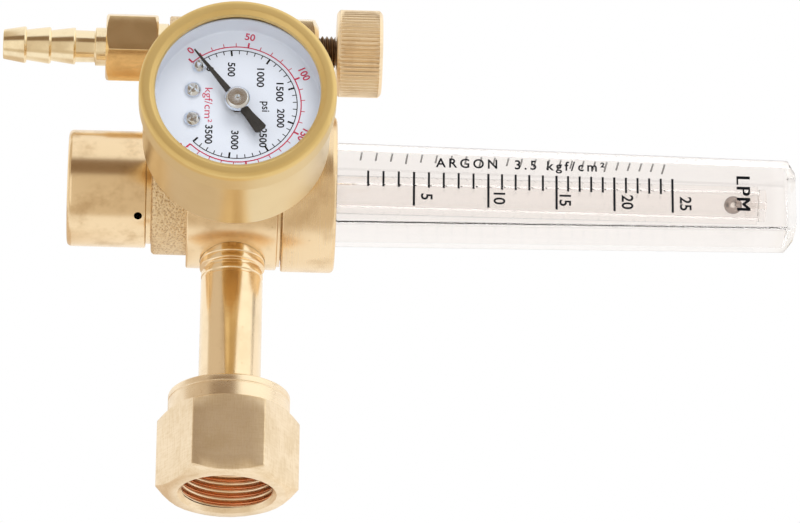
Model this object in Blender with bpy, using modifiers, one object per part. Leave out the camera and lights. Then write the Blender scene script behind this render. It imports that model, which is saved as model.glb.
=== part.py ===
"""Argon flowmeter regulator: a pre-set brass pressure regulator with a back-mounted cylinder gauge,
a clear flow tube with a ball, a needle valve with a knurled knob and a hose barb.

The frame: the origin is the centre of the inlet nut's mouth, +X points out of the mouth into the
cylinder valve, +Z runs up the flow tube, and the gauge looks along -Y. All sizes are in millimetres.
"""

import math

import bmesh
import bpy
from mathutils import Matrix, Vector

MM = 0.001
HEX_SPIN = 30.0
GAP = 0.3
FINE, MID, COARSE = 36, 20, 12
PAST = 2.0
COIL_POINTS = 10

# Where the three axes lie
INLET_REACH = 72.6
VALVE_RISE = 35.3
MAIN_X = -INLET_REACH
VALVE_X = MAIN_X - VALVE_RISE

# Forged and turned body, along Z
BODY_RADIUS, BODY_LOW, BODY_HIGH = 17.1, -10.3, 9.7
FLANGE_RADIUS, FLANGE_LENGTH, FLANGE_ROUND = 14.3, 7.8, 1.4
STEP_DEPTH, STEP_LENGTH = 0.7, 0.7
THREAD_DEPTH = 0.9
SPIGOT_LENGTH = 7.9
EDGE = 0.4
FLANGE_LOW = BODY_LOW - FLANGE_LENGTH
SPIGOT_HIGH = BODY_HIGH + SPIGOT_LENGTH

# Collar that holds the flow tube's cover
COLLAR_RADIUS, COLLAR_HIGH, COLLAR_WALL, COLLAR_LIP = 17.4, 22.5, 2.2, 1.0
COLLAR_LOW = BODY_HIGH + STEP_LENGTH + GAP
COLLAR_BORE = COLLAR_RADIUS - COLLAR_WALL
SPIGOT_RADIUS = COLLAR_BORE - GAP

# Bonnet cap and what it holds
BONNET_RADIUS, BONNET_LENGTH, BONNET_WALL, BONNET_END = 12.9, 17.4, 2.2, 3.0
BONNET_NECK, BONNET_ROUND = 1.2, 1.2
VENT_RADIUS, VENT_FROM_EDGE, VENT_ANGLE = 0.9, 1.7, 37.7
LEDGE_DEPTH, LEDGE_WIDTH = 4.9, 2.4
BONNET_HIGH = FLANGE_LOW - BONNET_NECK
BONNET_LOW = BONNET_HIGH - BONNET_LENGTH
BONNET_THREAD = BONNET_RADIUS - THREAD_DEPTH
BONNET_BORE = BONNET_THREAD - BONNET_WALL
BODY_BORE = BONNET_THREAD + GAP
LEDGE_Z = FLANGE_LOW + LEDGE_DEPTH
CHAMBER_RADIUS = BODY_BORE - LEDGE_WIDTH
CHAMBER_DEPTH = 2.7
DIAPHRAGM_THICK, DIAPHRAGM_RADIUS = 0.8, BODY_BORE - GAP
PLATE_THICK, PLATE_NUB, PLATE_RADIUS = 1.6, 1.8, BONNET_BORE - 0.9
SPRING_RADIUS, SPRING_WIRE, SPRING_TURNS = 6.0, 0.9, 4.5
NUB_RADIUS = SPRING_RADIUS - SPRING_WIRE - 0.6
PLUG_RADIUS, PLUG_RECESS, PLUG_SOCKET, PLUG_SOCKET_DEPTH = 5.0, 0.6, 5.0, 2.2
BUTTON_THICK, BUTTON_NUB, BUTTON_RADIUS = 1.5, 1.5, 7.6
DIAPHRAGM_HIGH = LEDGE_Z - GAP
DIAPHRAGM_LOW = DIAPHRAGM_HIGH - DIAPHRAGM_THICK
BONNET_TIP = DIAPHRAGM_LOW - GAP
PLATE_HIGH = DIAPHRAGM_LOW - GAP
PLATE_LOW = PLATE_HIGH - PLATE_THICK
PLUG_LOW = BONNET_LOW + PLUG_RECESS
PLUG_HIGH = BONNET_LOW + BONNET_END + 1.0
BUTTON_LOW = PLUG_HIGH + GAP
BUTTON_HIGH = BUTTON_LOW + BUTTON_THICK

# Seat nozzle and poppet on the main axis
POPPET_TRAVEL = 0.8
BORE_RADIUS, BORE_HIGH = 5.2, 4.5
NOZZLE_LENGTH, NOZZLE_BORE = 5.6, 1.4
PIN_RADIUS, HEAD_RADIUS, HEAD_THICK, GUIDE_LENGTH = 0.9, 3.4, 2.0, 2.6
SMALL_SPRING_RADIUS, SMALL_WIRE, SMALL_TURNS = 2.6, 0.35, 4.5
NOZZLE_LOW = LEDGE_Z + CHAMBER_DEPTH + 0.2
NOZZLE_HIGH = NOZZLE_LOW + NOZZLE_LENGTH
HEAD_LOW = NOZZLE_HIGH + POPPET_TRAVEL + GAP

# Gas passages in the body
PASSAGE, RISER = 1.1, 1.3
FEED_OFFSET, FEED_TURN_Z = 8.2, 7.6
RETURN_OFFSET, RETURN_TURN_Z = 7.5, 3.0
PASSAGE_PLUG_RADIUS, PASSAGE_PLUG_DEPTH = 1.9, 2.4
INLET_HOLE, PORT_HOLE = 2.0, 1.0
SOCKET_DEPTH = 2.6

# Inlet nipple and nut, along X
NIPPLE_RADIUS, NIPPLE_BORE, NIPPLE_STUB = 6.8, 2.9, 5.6
NIPPLE_STUB_LENGTH, RING_LENGTH, RING_STEP = 6.6, 4.4, 0.35
RING_SINK = 2.6
NIPPLE_FLANGE_RADIUS, NIPPLE_FLANGE_LENGTH = 9.0, 3.4
NOSE_RADIUS, NOSE_LENGTH, NOSE_TAPER = 5.2, 6.0, 1.0
WASHER_THICK = 1.5
FILTER_LENGTH = 5.0
HEX_ACROSS, HEX_LENGTH = 27.0, 16.9
SHOULDER_RADIUS, SHOULDER_LENGTH, CONE_LENGTH = 13.3, 4.9, 1.2
NUT_THREAD_BORE, NUT_BACK, MOUTH_RADIUS, MOUTH_CHAMFER = 10.3, 4.8, 10.8, 0.8
HEX_FACE_RADIUS = 13.0
CHAMFER_SLOPE = math.tan(math.radians(30))
CORNER_SPARE = 0.2
NUT_LOW = -(HEX_LENGTH + CONE_LENGTH + SHOULDER_LENGTH)
FLANGE_X = NUT_LOW + NUT_BACK + GAP
NOSE_X = FLANGE_X + NIPPLE_FLANGE_LENGTH
RING_X = MAIN_X + BODY_RADIUS - RING_SINK

# Pressure gauge, along -Y from the main axis
GAUGE_FRONT, GAUGE_DEPTH = 51.5, 26.3
BEZEL_RADIUS, BEZEL_LENGTH, WINDOW_RADIUS, BEZEL_WALL = 21.2, 6.6, 17.7, 0.6
CASE_WALL, CASE_ROUND = 1.2, 1.8
GLASS_THICK, GLASS_SINK = 2.0, 1.7
DIAL_DEPTH, DIAL_THICK = 8.8, 0.5
HUB_RADIUS, HUB_HEIGHT, HUB_LIFT = 2.7, 1.7, 2.2
POINTER_THICK, POINTER_REACH, POINTER_TAIL, POINTER_ANGLE = 0.4, 14.4, 8.6, 218.0
POINTER_TIP_WIDTH, POINTER_WIDTH, POINTER_TAIL_WIDTH = 0.35, 1.5, 3.0
DIAL_SCREW_RADIUS, DIAL_SCREW_HEAD, DIAL_SCREW_DROP, DIAL_SCREW_SPREAD = 1.75, 0.9, 9.6, 3.5
SCREW_SHANK = 0.7
STOP_PIN_RADIUS, STOP_PIN_HEIGHT, STOP_PIN_REACH = 0.45, 2.9, 12.4
BOSS_RADIUS, BOSS_REACH = 9.0, 20.0
STEM_THREAD, STEM_HEX, STEM_NECK, STEM_BORE = 6.0, 14.0, 5.2, 1.2
STEM_DEPTH = 11.0
HEAD_PLATE, ARM_WIDTH, STEM_LIP, FOOT_INSET = 3.4, 4.0, 1.0, 1.6
BOURDON_RADIUS, BOURDON_HALF_WIDE, BOURDON_HALF_THICK = 14.6, 2.2, 1.2
BOURDON_START, BOURDON_SWEEP = 0.0, -250.0
MOVEMENT_PLATE, MOVEMENT_HEIGHT, PLATE_HALF_WIDTH = 1.0, 5.8, 4.5
PLATE_BELOW, PLATE_ABOVE = 5.2, 12.4
PIVOT_RISE, PINION_RADIUS, SHAFT_RADIUS = 10.0, 1.2, 0.7
SECTOR_THICK, SECTOR_LEAN, SECTOR_HALF_SPAN = 1.0, 18.8, 22.0
TAIL_X, TAIL_Z, TAIL_PIN = 3.0, 2.0, 0.5
LINK_THICK, LINK_EYE = 0.6, 1.5
PILLAR_RADIUS, PILLAR_SPREAD, PILLAR_DROP = 0.9, 3.2, 3.6

CASE_BACK = GAUGE_FRONT - GAUGE_DEPTH
CASE_RADIUS = BEZEL_RADIUS - BEZEL_WALL - GAP
CASE_INNER = CASE_RADIUS - CASE_WALL
GLASS_FRONT = GAUGE_FRONT - GLASS_SINK
GLASS_BACK = GLASS_FRONT - GLASS_THICK
GLASS_RADIUS = CASE_RADIUS - 0.9
CASE_FRONT = GLASS_BACK - GAP
DIAL_FRONT = GAUGE_FRONT - DIAL_DEPTH
DIAL_BACK = DIAL_FRONT - DIAL_THICK
DIAL_RADIUS = CASE_INNER - GAP
HUB_BACK = DIAL_FRONT + HUB_LIFT + POINTER_THICK + GAP
CASE_FLOOR = CASE_BACK + CASE_WALL
HEAD_BACK = CASE_FLOOR + GAP
HEAD_FRONT = HEAD_BACK + HEAD_PLATE
BACK_PLATE = HEAD_FRONT + GAP
FRONT_PLATE = BACK_PLATE + MOVEMENT_HEIGHT
SHAFT_BACK = BACK_PLATE + 0.1
SECTOR_BACK = BACK_PLATE + MOVEMENT_PLATE + 1.6
BOURDON_MID = HEAD_FRONT + GAP + BOURDON_HALF_WIDE
LINK_BACK = BOURDON_MID + BOURDON_HALF_WIDE + GAP
SECTOR_RADIUS = PIVOT_RISE - PINION_RADIUS - 0.4

# Flow tube, along Z above the collar
COVER_WALL, COVER_END, COVER_HEADROOM = 1.65, 2.1, 8.3
COVER_X0, COVER_X1 = 10.05, 8.6
COVER_Y0, COVER_Y1 = 6.4, 6.25
COVER_CHAMFER, COVER_CORNER = 1.9, 0.5
COVER_FLANGE_RADIUS, COVER_FLANGE = 14.0, 1.8
RING_SECTION = 0.6
TUBE_RADIUS, TUBE_BORE_LOW, TUBE_BORE_HIGH, TUBE_HIGH = 4.3, 2.3, 2.75, 116.4
BALL_RADIUS, BALL_DROP = 2.0, 5.4
STOP_HEAD, STOP_HEAD_RADIUS, STOP_HOLE = 1.5, 3.6, 0.7
STOP_STUB = 3.0
COVER_HIGH = TUBE_HIGH + COVER_HEADROOM
BALL_Z = TUBE_HIGH - BALL_DROP
COVER_FLANGE_HIGH = COLLAR_HIGH - COLLAR_LIP - GAP
COVER_LOW = COVER_FLANGE_HIGH - COVER_FLANGE
COLLAR_HOLE = math.hypot(COVER_X0, COVER_Y0) + GAP
TUBE_LOW = SPIGOT_HIGH - SOCKET_DEPTH + GAP
SOCKET_RADIUS = TUBE_RADIUS + GAP

# Needle valve and outlet, along Z on the valve axis
BLOCK_RADIUS, BLOCK_LOW, BLOCK_HIGH = 7.3, -15.2, 11.2
NECK_HALF_WIDTH, NECK_HALF_HEIGHT = 5.5, 8.6
VALVE_HEX, GLAND_HEX_LENGTH = 14.6, 6.7
GLAND_FACE_DROP, BARB_FACE_DROP = 1.5, 0.3
GLAND_THREAD, GLAND_THREAD_LENGTH = 5.6, 5.4
STEM_RADIUS, NEEDLE_RADIUS, NEEDLE_TIP = 3.8, 2.4, 0.7
STEM_SHOW, SEAT_Z, SEAT_WALL, SEAT_BORE = 4.1, 0.4, 7.4, 1.2
NEEDLE_LIFT = 0.5
NEEDLE_CONE = 2.4
CHAMBER_TOP = 4.9
KNOB_RADIUS, KNOB_LENGTH, KNOB_CHAMFER, KNOB_CAP = 9.8, 10.2, 0.7, 2.2
KNOB_BORE = 3.1
BARB_THREAD, BARB_BORE, BARB_COLLAR, BARB_COLLAR_LENGTH = 4.7, 1.9, 5.6, 2.2
BARB_HEX_LENGTH, BARB_RING_RADIUS, BARB_RING = 11.7, 4.3, 2.4
BARB_NECK, BARB_NECK_RADIUS, RIDGE_PITCH, RIDGES = 4.4, 3.55, 5.5, 3
RIDGE_RADIUS, VALLEY_RADIUS, TIP_RADIUS, TIP_LENGTH = 4.15, 3.45, 3.35, 5.2
GLAND_LOW = BLOCK_HIGH + GAP
GLAND_HIGH = GLAND_LOW + GLAND_HEX_LENGTH
KNOB_LOW = GLAND_HIGH + STEM_SHOW
KNOB_HIGH = KNOB_LOW + KNOB_LENGTH

# Which way each turned piece's own axis points
ALONG_Z = Matrix.Identity(4)
ALONG_X = Matrix.Rotation(math.radians(90), 4, "Y")
TO_FRONT = Matrix.Rotation(math.radians(90), 4, "X")

FINISHES = {
    "turned_brass": ((0.80, 0.60, 0.33), 0.28, 1.0, 1.0),
    "forged_brass": ((0.76, 0.58, 0.38), 0.5, 1.0, 1.0),
    "gauge_gold": ((0.70, 0.52, 0.22), 0.35, 1.0, 1.0),
    "dark_brass": ((0.35, 0.23, 0.13), 0.4, 1.0, 1.0),
    "steel": ((0.62, 0.62, 0.62), 0.25, 1.0, 1.0),
    "dial_white": ((0.80, 0.82, 0.86), 0.5, 0.0, 1.0),
    "pointer_black": ((0.02, 0.02, 0.02), 0.4, 0.0, 1.0),
    "clear_glass": ((0.9, 0.95, 0.95), 0.05, 0.0, 0.2),
    "clear_plastic": ((0.93, 0.9, 0.88), 0.08, 0.0, 0.3),
    "rubber": ((0.03, 0.03, 0.03), 0.7, 0.0, 1.0),
    "white_seal": ((0.85, 0.85, 0.82), 0.6, 0.0, 1.0),
    "sintered_bronze": ((0.45, 0.30, 0.18), 0.8, 1.0, 1.0),
}


def clear_scene():
    """Remove every object, so the model starts in an empty scene."""
    for obj in list(bpy.data.objects):
        bpy.data.objects.remove(obj, do_unlink=True)


def collection(name):
    """Return the collection of this name, linked to the scene."""
    found = bpy.data.collections.get(name) or bpy.data.collections.new(name)
    if name not in bpy.context.scene.collection.children:
        bpy.context.scene.collection.children.link(found)
    return found


def material(name):
    """Return the named finish as a Principled material."""
    found = bpy.data.materials.get(name)
    if found:
        return found
    colour, roughness, metallic, alpha = FINISHES[name]
    found = bpy.data.materials.new(name)
    found.use_nodes = True
    shader = found.node_tree.nodes["Principled BSDF"]
    shader.inputs["Base Color"].default_value = (*colour, 1.0)
    shader.inputs["Roughness"].default_value = roughness
    shader.inputs["Metallic"].default_value = metallic
    shader.inputs["Alpha"].default_value = alpha
    return found


def place(mesh_data, name, finish, turn=ALONG_Z, at=(0.0, 0.0, 0.0)):
    """Put a mesh or curve in the scene at a point in millimetres; finish None makes a cutter."""
    obj = bpy.data.objects.new(name, mesh_data)
    obj.matrix_world = Matrix.Translation(Vector(at) * MM) @ turn
    if finish is None:
        collection("cutters").objects.link(obj)
        obj.hide_render = True
        obj.display_type = "WIRE"
    else:
        collection("flowmeter_regulator").objects.link(obj)
        mesh_data.materials.append(material(finish))
    return obj


def turned(name, profile, finish, turn=ALONG_Z, at=(0.0, 0.0, 0.0), steps=FINE):
    """Turn a profile of (radius, height) points. It runs down the outer side; a ring's profile closes."""
    ring = profile[0][0] > 0.0
    count = len(profile)
    edges = [(i, i + 1) for i in range(count - 1)] + ([(count - 1, 0)] if ring else [])
    mesh = bpy.data.meshes.new(name)
    mesh.from_pydata([(r * MM, 0.0, h * MM) for r, h in profile], edges, [])
    obj = place(mesh, name, finish, turn, at)
    screw = obj.modifiers.new("Turn", "SCREW")
    screw.angle = math.tau
    screw.steps = screw.render_steps = steps
    screw.use_merge_vertices = True
    screw.merge_threshold = 1e-6
    return obj


def rod(name, radius, low, high, finish, turn=ALONG_Z, at=(0.0, 0.0, 0.0), steps=MID):
    """Return a plain cylinder between two heights on its own axis."""
    return turned(name, [(0.0, high), (radius, high), (radius, low), (0.0, low)], finish, turn, at, steps)


def tube_profile(outer, inner, low, high):
    """Return a closed profile of a plain ring."""
    return [(outer, high), (outer, low), (inner, low), (inner, high)]


def arc(centre_r, centre_h, radius, start, end, count=4):
    """Return points on an arc of a profile; angles in degrees from +radius towards +height."""
    angles = [math.radians(start + (end - start) * i / count) for i in range(count + 1)]
    return [(centre_r + radius * math.cos(a), centre_h + radius * math.sin(a)) for a in angles]


def prism(name, sides, across, low, high, finish, turn=ALONG_Z, at=(0.0, 0.0, 0.0), spin=0.0):
    """Return a regular prism of a width across its flats, between two heights."""
    radius = across / 2 / math.cos(math.pi / sides) * MM
    mesh = bpy.data.meshes.new(name)
    bm = bmesh.new()
    lift = Matrix.Translation((0.0, 0.0, (low + high) / 2 * MM))
    shift = lift @ Matrix.Rotation(math.radians(spin), 4, "Z")
    bmesh.ops.create_cone(bm, cap_ends=True, segments=sides, radius1=radius, radius2=radius,
                          depth=(high - low) * MM, matrix=shift)
    bm.to_mesh(mesh)
    bm.free()
    return place(mesh, name, finish, turn, at)


def block(name, low, high, finish, top_scale=(1.0, 1.0), at=(0.0, 0.0, 0.0), turn=ALONG_Z):
    """Return a box between two corners; top_scale narrows its upper end about its own axis."""
    mesh = bpy.data.meshes.new(name)
    bm = bmesh.new()
    bmesh.ops.create_cube(bm, size=1.0)
    middle = [(a + b) / 2 for a, b in zip(low, high)]
    for vert in bm.verts:
        scale = top_scale if vert.co.z > 0 else (1.0, 1.0)
        vert.co.x = (middle[0] + vert.co.x * (high[0] - low[0]) * scale[0]) * MM
        vert.co.y = (middle[1] + vert.co.y * (high[1] - low[1]) * scale[1]) * MM
        vert.co.z = (middle[2] + vert.co.z * (high[2] - low[2])) * MM
    bm.to_mesh(mesh)
    bm.free()
    return place(mesh, name, finish, turn, at)


def flat(name, points, low, high, finish, turn=ALONG_Z, at=(0.0, 0.0, 0.0)):
    """Return a flat outline of (x, y) points, given in order round it, as a plate between two heights."""
    curve = bpy.data.curves.new(name, "CURVE")
    curve.dimensions = "2D"
    curve.fill_mode = "BOTH"
    curve.extrude = (high - low) / 2 * MM
    spline = curve.splines.new("POLY")
    spline.points.add(len(points) - 1)
    for point, (x, y) in zip(spline.points, points):
        point.co = (x * MM, y * MM, 0.0, 1.0)
    spline.use_cyclic_u = True
    lift = turn @ Matrix.Translation((0.0, 0.0, (low + high) / 2 * MM))
    return as_mesh(place(curve, name, finish, lift, at))


def as_mesh(obj):
    """Replace a curve object by its welded mesh, at the same place and with the same name."""
    graph = bpy.context.evaluated_depsgraph_get()
    graph.update()
    mesh = bpy.data.meshes.new_from_object(obj.evaluated_get(graph))
    bm = bmesh.new()
    bm.from_mesh(mesh)
    bmesh.ops.remove_doubles(bm, verts=bm.verts, dist=1e-6)
    bmesh.ops.recalc_face_normals(bm, faces=bm.faces)
    bm.to_mesh(mesh)
    bm.free()
    name, home, matrix = obj.name, obj.users_collection[0], obj.matrix_world.copy()
    hidden = obj.hide_render
    bpy.data.objects.remove(obj, do_unlink=True)
    solid = bpy.data.objects.new(name, mesh)
    solid.matrix_world = matrix
    solid.hide_render = hidden
    solid.display_type = "WIRE" if hidden else "TEXTURED"
    home.objects.link(solid)
    return solid


def wire(name, points, radius, finish, at=(0.0, 0.0, 0.0), turn=ALONG_Z, section=None):
    """Return a wire or tube along points, round, or with the section of another curve."""
    curve = bpy.data.curves.new(name, "CURVE")
    curve.dimensions = "3D"
    curve.use_fill_caps = True
    if section is None:
        curve.bevel_depth = radius * MM
        curve.bevel_resolution = 2
    else:
        curve.bevel_mode = "OBJECT"
        curve.bevel_object = section
    spline = curve.splines.new("POLY")
    spline.points.add(len(points) - 1)
    for point, (x, y, z) in zip(spline.points, points):
        point.co = (x * MM, y * MM, z * MM, 1.0)
    return as_mesh(place(curve, name, finish, turn, at))


def coil(name, radius, wire_radius, turns, low, high, finish, at):
    """Return a coil spring with open ends between two heights."""
    count = int(turns * COIL_POINTS)
    bottom, top = low + wire_radius, high - wire_radius
    points = []
    for i in range(count + 1):
        angle = math.tau * turns * i / count
        height = bottom + (top - bottom) * i / count
        points.append((radius * math.cos(angle), radius * math.sin(angle), height))
    return wire(name, points, wire_radius, finish, at)


def combine(obj, tool, operation):
    """Add a Boolean modifier that joins, cuts or intersects with a tool."""
    step = obj.modifiers.new(tool.name, "BOOLEAN")
    step.operation = operation
    step.solver = "EXACT"
    step.object = tool
    return obj


def cut(obj, *tools):
    """Cut each tool from an object."""
    for tool in tools:
        combine(obj, tool, "DIFFERENCE")
    return obj


def join(obj, *tools):
    """Join each tool to an object."""
    for tool in tools:
        combine(obj, tool, "UNION")
    return obj


def body():
    """Make the body: main cylinder, forged flange, spigot, gauge boss and valve block, with passages."""
    main = (MAIN_X, 0.0, 0.0)
    valve = (VALVE_X, 0.0, 0.0)
    step_radius = BODY_RADIUS - STEP_DEPTH
    profile = [(0.0, SPIGOT_HIGH), (SPIGOT_RADIUS - EDGE, SPIGOT_HIGH), (SPIGOT_RADIUS, SPIGOT_HIGH - EDGE),
               (SPIGOT_RADIUS, BODY_HIGH + STEP_LENGTH), (step_radius, BODY_HIGH + STEP_LENGTH),
               (step_radius, BODY_HIGH), (BODY_RADIUS - EDGE, BODY_HIGH), (BODY_RADIUS, BODY_HIGH - EDGE),
               (BODY_RADIUS, BODY_LOW + EDGE), (BODY_RADIUS - EDGE, BODY_LOW), (FLANGE_RADIUS, BODY_LOW)]
    profile += arc(FLANGE_RADIUS - FLANGE_ROUND, FLANGE_LOW + FLANGE_ROUND, FLANGE_ROUND, 0, -90)
    profile.append((0.0, FLANGE_LOW))
    solid = turned("regulator_body", profile, "forged_brass", ALONG_Z, main)
    neck = block("neck", (VALVE_X, -NECK_HALF_WIDTH, -NECK_HALF_HEIGHT),
                 (MAIN_X - BORE_RADIUS - 4.0, NECK_HALF_WIDTH, NECK_HALF_HEIGHT), None)
    valve_block = rod("valve_block", BLOCK_RADIUS, BLOCK_LOW, BLOCK_HIGH, None, ALONG_Z, valve)
    boss = rod("gauge_boss", BOSS_RADIUS, BODY_RADIUS / 2, BOSS_REACH, None, TO_FRONT, main)
    join(solid, neck, valve_block, boss)

    chamber_high = LEDGE_Z + CHAMBER_DEPTH
    bowl = turned("bowl_cut", [(0.0, BORE_HIGH), (BORE_RADIUS, BORE_HIGH), (BORE_RADIUS, chamber_high),
                               (CHAMBER_RADIUS, chamber_high), (CHAMBER_RADIUS, LEDGE_Z),
                               (BODY_BORE, LEDGE_Z),
                               (BODY_BORE, FLANGE_LOW - PAST), (0.0, FLANGE_LOW - PAST)], None, ALONG_Z, main)
    port_depth = BOSS_REACH - STEM_DEPTH
    gauge_port = turned("gauge_port_cut", [(0.0, BOSS_REACH + PAST), (STEM_THREAD + GAP, BOSS_REACH + PAST),
                                           (STEM_THREAD + GAP, port_depth), (PORT_HOLE, port_depth),
                                           (PORT_HOLE, BORE_RADIUS / 2), (0.0, BORE_RADIUS / 2)],
                        None, TO_FRONT, main, MID)
    ring_hole = NIPPLE_RADIUS + RING_STEP + GAP
    stub_end = RING_X - MAIN_X - NIPPLE_STUB_LENGTH - GAP
    inlet = turned("inlet_port_cut", [(0.0, BODY_RADIUS + PAST), (ring_hole, BODY_RADIUS + PAST),
                                      (ring_hole, RING_X - MAIN_X - GAP),
                                      (NIPPLE_STUB + GAP, RING_X - MAIN_X - GAP),
                                      (NIPPLE_STUB + GAP, stub_end), (INLET_HOLE, stub_end),
                                      (INLET_HOLE, BORE_RADIUS / 2), (0.0, BORE_RADIUS / 2)],
                   None, ALONG_X, main, MID)
    socket = turned("tube_socket_cut", [(0.0, SPIGOT_HIGH + PAST), (SOCKET_RADIUS, SPIGOT_HIGH + PAST),
                                        (SOCKET_RADIUS, SPIGOT_HIGH - SOCKET_DEPTH),
                                        (RISER, SPIGOT_HIGH - SOCKET_DEPTH),
                                        (RISER, FEED_TURN_Z - PASSAGE - 0.2),
                                        (0.0, FEED_TURN_Z - PASSAGE - 0.2)],
                    None, ALONG_Z, main, MID)
    feed = rod("feed_cut", PASSAGE, chamber_high - PAST, FEED_TURN_Z, None, ALONG_Z,
               (MAIN_X, FEED_OFFSET, 0.0), COARSE)
    plug_floor = BODY_RADIUS - PASSAGE_PLUG_DEPTH
    feed_turn = turned("feed_turn_cut", [(0.0, -RISER / 2), (PASSAGE, -RISER / 2),
                                         (PASSAGE, -plug_floor), (PASSAGE_PLUG_RADIUS + GAP, -plug_floor),
                                         (PASSAGE_PLUG_RADIUS + GAP, -BODY_RADIUS - PAST),
                                         (0.0, -BODY_RADIUS - PAST)],
                       None, TO_FRONT, (MAIN_X, 0.0, FEED_TURN_Z), COARSE)
    back = rod("return_cut", PASSAGE, RETURN_TURN_Z, SPIGOT_HIGH + PAST, None, ALONG_Z,
               (MAIN_X - RETURN_OFFSET, 0.0, 0.0), COARSE)
    back_turn = rod("return_turn_cut", PASSAGE, 0.0, VALVE_RISE - RETURN_OFFSET, None, ALONG_X,
                    (VALVE_X, 0.0, RETURN_TURN_Z), COARSE)
    bores = turned("valve_bore_cut", [(0.0, BLOCK_HIGH + PAST), (GLAND_THREAD + GAP, BLOCK_HIGH + PAST),
                                      (GLAND_THREAD + GAP, CHAMBER_TOP), (NEEDLE_RADIUS + 0.8, CHAMBER_TOP),
                                      (NEEDLE_RADIUS + 0.8, SEAT_Z), (SEAT_BORE, SEAT_Z),
                                      (SEAT_BORE, SEAT_Z - SEAT_WALL),
                                      (BARB_THREAD + GAP, SEAT_Z - SEAT_WALL),
                                      (BARB_THREAD + GAP, BLOCK_LOW - PAST), (0.0, BLOCK_LOW - PAST)],
                   None, ALONG_Z, valve, MID)
    cut(solid, bowl, gauge_port, inlet, socket, feed, feed_turn, back, back_turn, bores)
    rod("passage_plug", PASSAGE_PLUG_RADIUS, -BODY_RADIUS + 0.2, -plug_floor - GAP, "turned_brass",
        TO_FRONT, (MAIN_X, 0.0, FEED_TURN_Z), COARSE)


def bonnet():
    """Make the bonnet cap with its vent, and the pre-set spring stack inside it."""
    main = (MAIN_X, 0.0, 0.0)
    inner_low = BONNET_LOW + BONNET_END
    plug_hole = PLUG_RADIUS + GAP
    profile = [(BONNET_THREAD, BONNET_TIP), (BONNET_THREAD, FLANGE_LOW),
               (BONNET_THREAD, BONNET_HIGH), (BONNET_RADIUS - EDGE, BONNET_HIGH),
               (BONNET_RADIUS, BONNET_HIGH - EDGE)]
    profile += arc(BONNET_RADIUS - BONNET_ROUND, BONNET_LOW + BONNET_ROUND, BONNET_ROUND, 0, -90)
    profile += [(plug_hole, BONNET_LOW), (plug_hole, inner_low), (BONNET_BORE, inner_low),
                (BONNET_BORE, BONNET_TIP)]
    cap = turned("bonnet_cap", profile, "turned_brass", ALONG_Z, main)
    aim = Matrix.Rotation(math.radians(-VENT_ANGLE), 4, "Z") @ ALONG_X
    vent = rod("vent_cut", VENT_RADIUS, BONNET_BORE - PAST, BONNET_RADIUS + PAST, None, aim,
               (MAIN_X, 0.0, BONNET_HIGH - VENT_FROM_EDGE), COARSE)
    cut(cap, vent)

    plug = rod("adjusting_plug", PLUG_RADIUS, PLUG_LOW, PLUG_HIGH, "turned_brass", ALONG_Z, main)
    cut(plug, prism("socket_cut", 6, PLUG_SOCKET, PLUG_LOW - PAST, PLUG_LOW + PLUG_SOCKET_DEPTH, None,
                    ALONG_Z, main))
    turned("spring_button", [(0.0, BUTTON_HIGH + BUTTON_NUB), (NUB_RADIUS, BUTTON_HIGH + BUTTON_NUB),
                             (NUB_RADIUS, BUTTON_HIGH), (BUTTON_RADIUS, BUTTON_HIGH),
                             (BUTTON_RADIUS, BUTTON_LOW),
                             (0.0, BUTTON_LOW)], "steel", ALONG_Z, main, MID)
    coil("regulating_spring", SPRING_RADIUS, SPRING_WIRE, SPRING_TURNS, BUTTON_HIGH + GAP, PLATE_LOW - GAP,
         "steel", main)
    turned("diaphragm_plate", [(0.0, PLATE_HIGH), (PLATE_RADIUS, PLATE_HIGH), (PLATE_RADIUS, PLATE_LOW),
                               (NUB_RADIUS, PLATE_LOW), (NUB_RADIUS, PLATE_LOW - PLATE_NUB),
                               (0.0, PLATE_LOW - PLATE_NUB)], "steel", ALONG_Z, main, MID)
    rod("diaphragm", DIAPHRAGM_RADIUS, DIAPHRAGM_LOW, DIAPHRAGM_HIGH, "rubber", ALONG_Z, main, MID)


def seat():
    """Make the nozzle, the poppet that closes it and the poppet's spring."""
    main = (MAIN_X, 0.0, 0.0)
    turned("seat_nozzle", tube_profile(BORE_RADIUS - GAP, NOZZLE_BORE, NOZZLE_LOW, NOZZLE_HIGH),
           "turned_brass", ALONG_Z, main, MID)
    head_high = HEAD_LOW + HEAD_THICK
    guide = SMALL_SPRING_RADIUS - SMALL_WIRE - GAP
    turned("poppet", [(0.0, head_high + GUIDE_LENGTH), (guide, head_high + GUIDE_LENGTH), (guide, head_high),
                      (HEAD_RADIUS, head_high), (HEAD_RADIUS, HEAD_LOW + 0.6), (PIN_RADIUS + 1.2, HEAD_LOW),
                      (PIN_RADIUS, HEAD_LOW), (PIN_RADIUS, DIAPHRAGM_HIGH + GAP),
                      (0.0, DIAPHRAGM_HIGH + GAP)], "steel", ALONG_Z, main, COARSE)
    coil("poppet_spring", SMALL_SPRING_RADIUS, SMALL_WIRE, SMALL_TURNS, head_high + GAP, BORE_HIGH - GAP,
         "steel", main)


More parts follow.
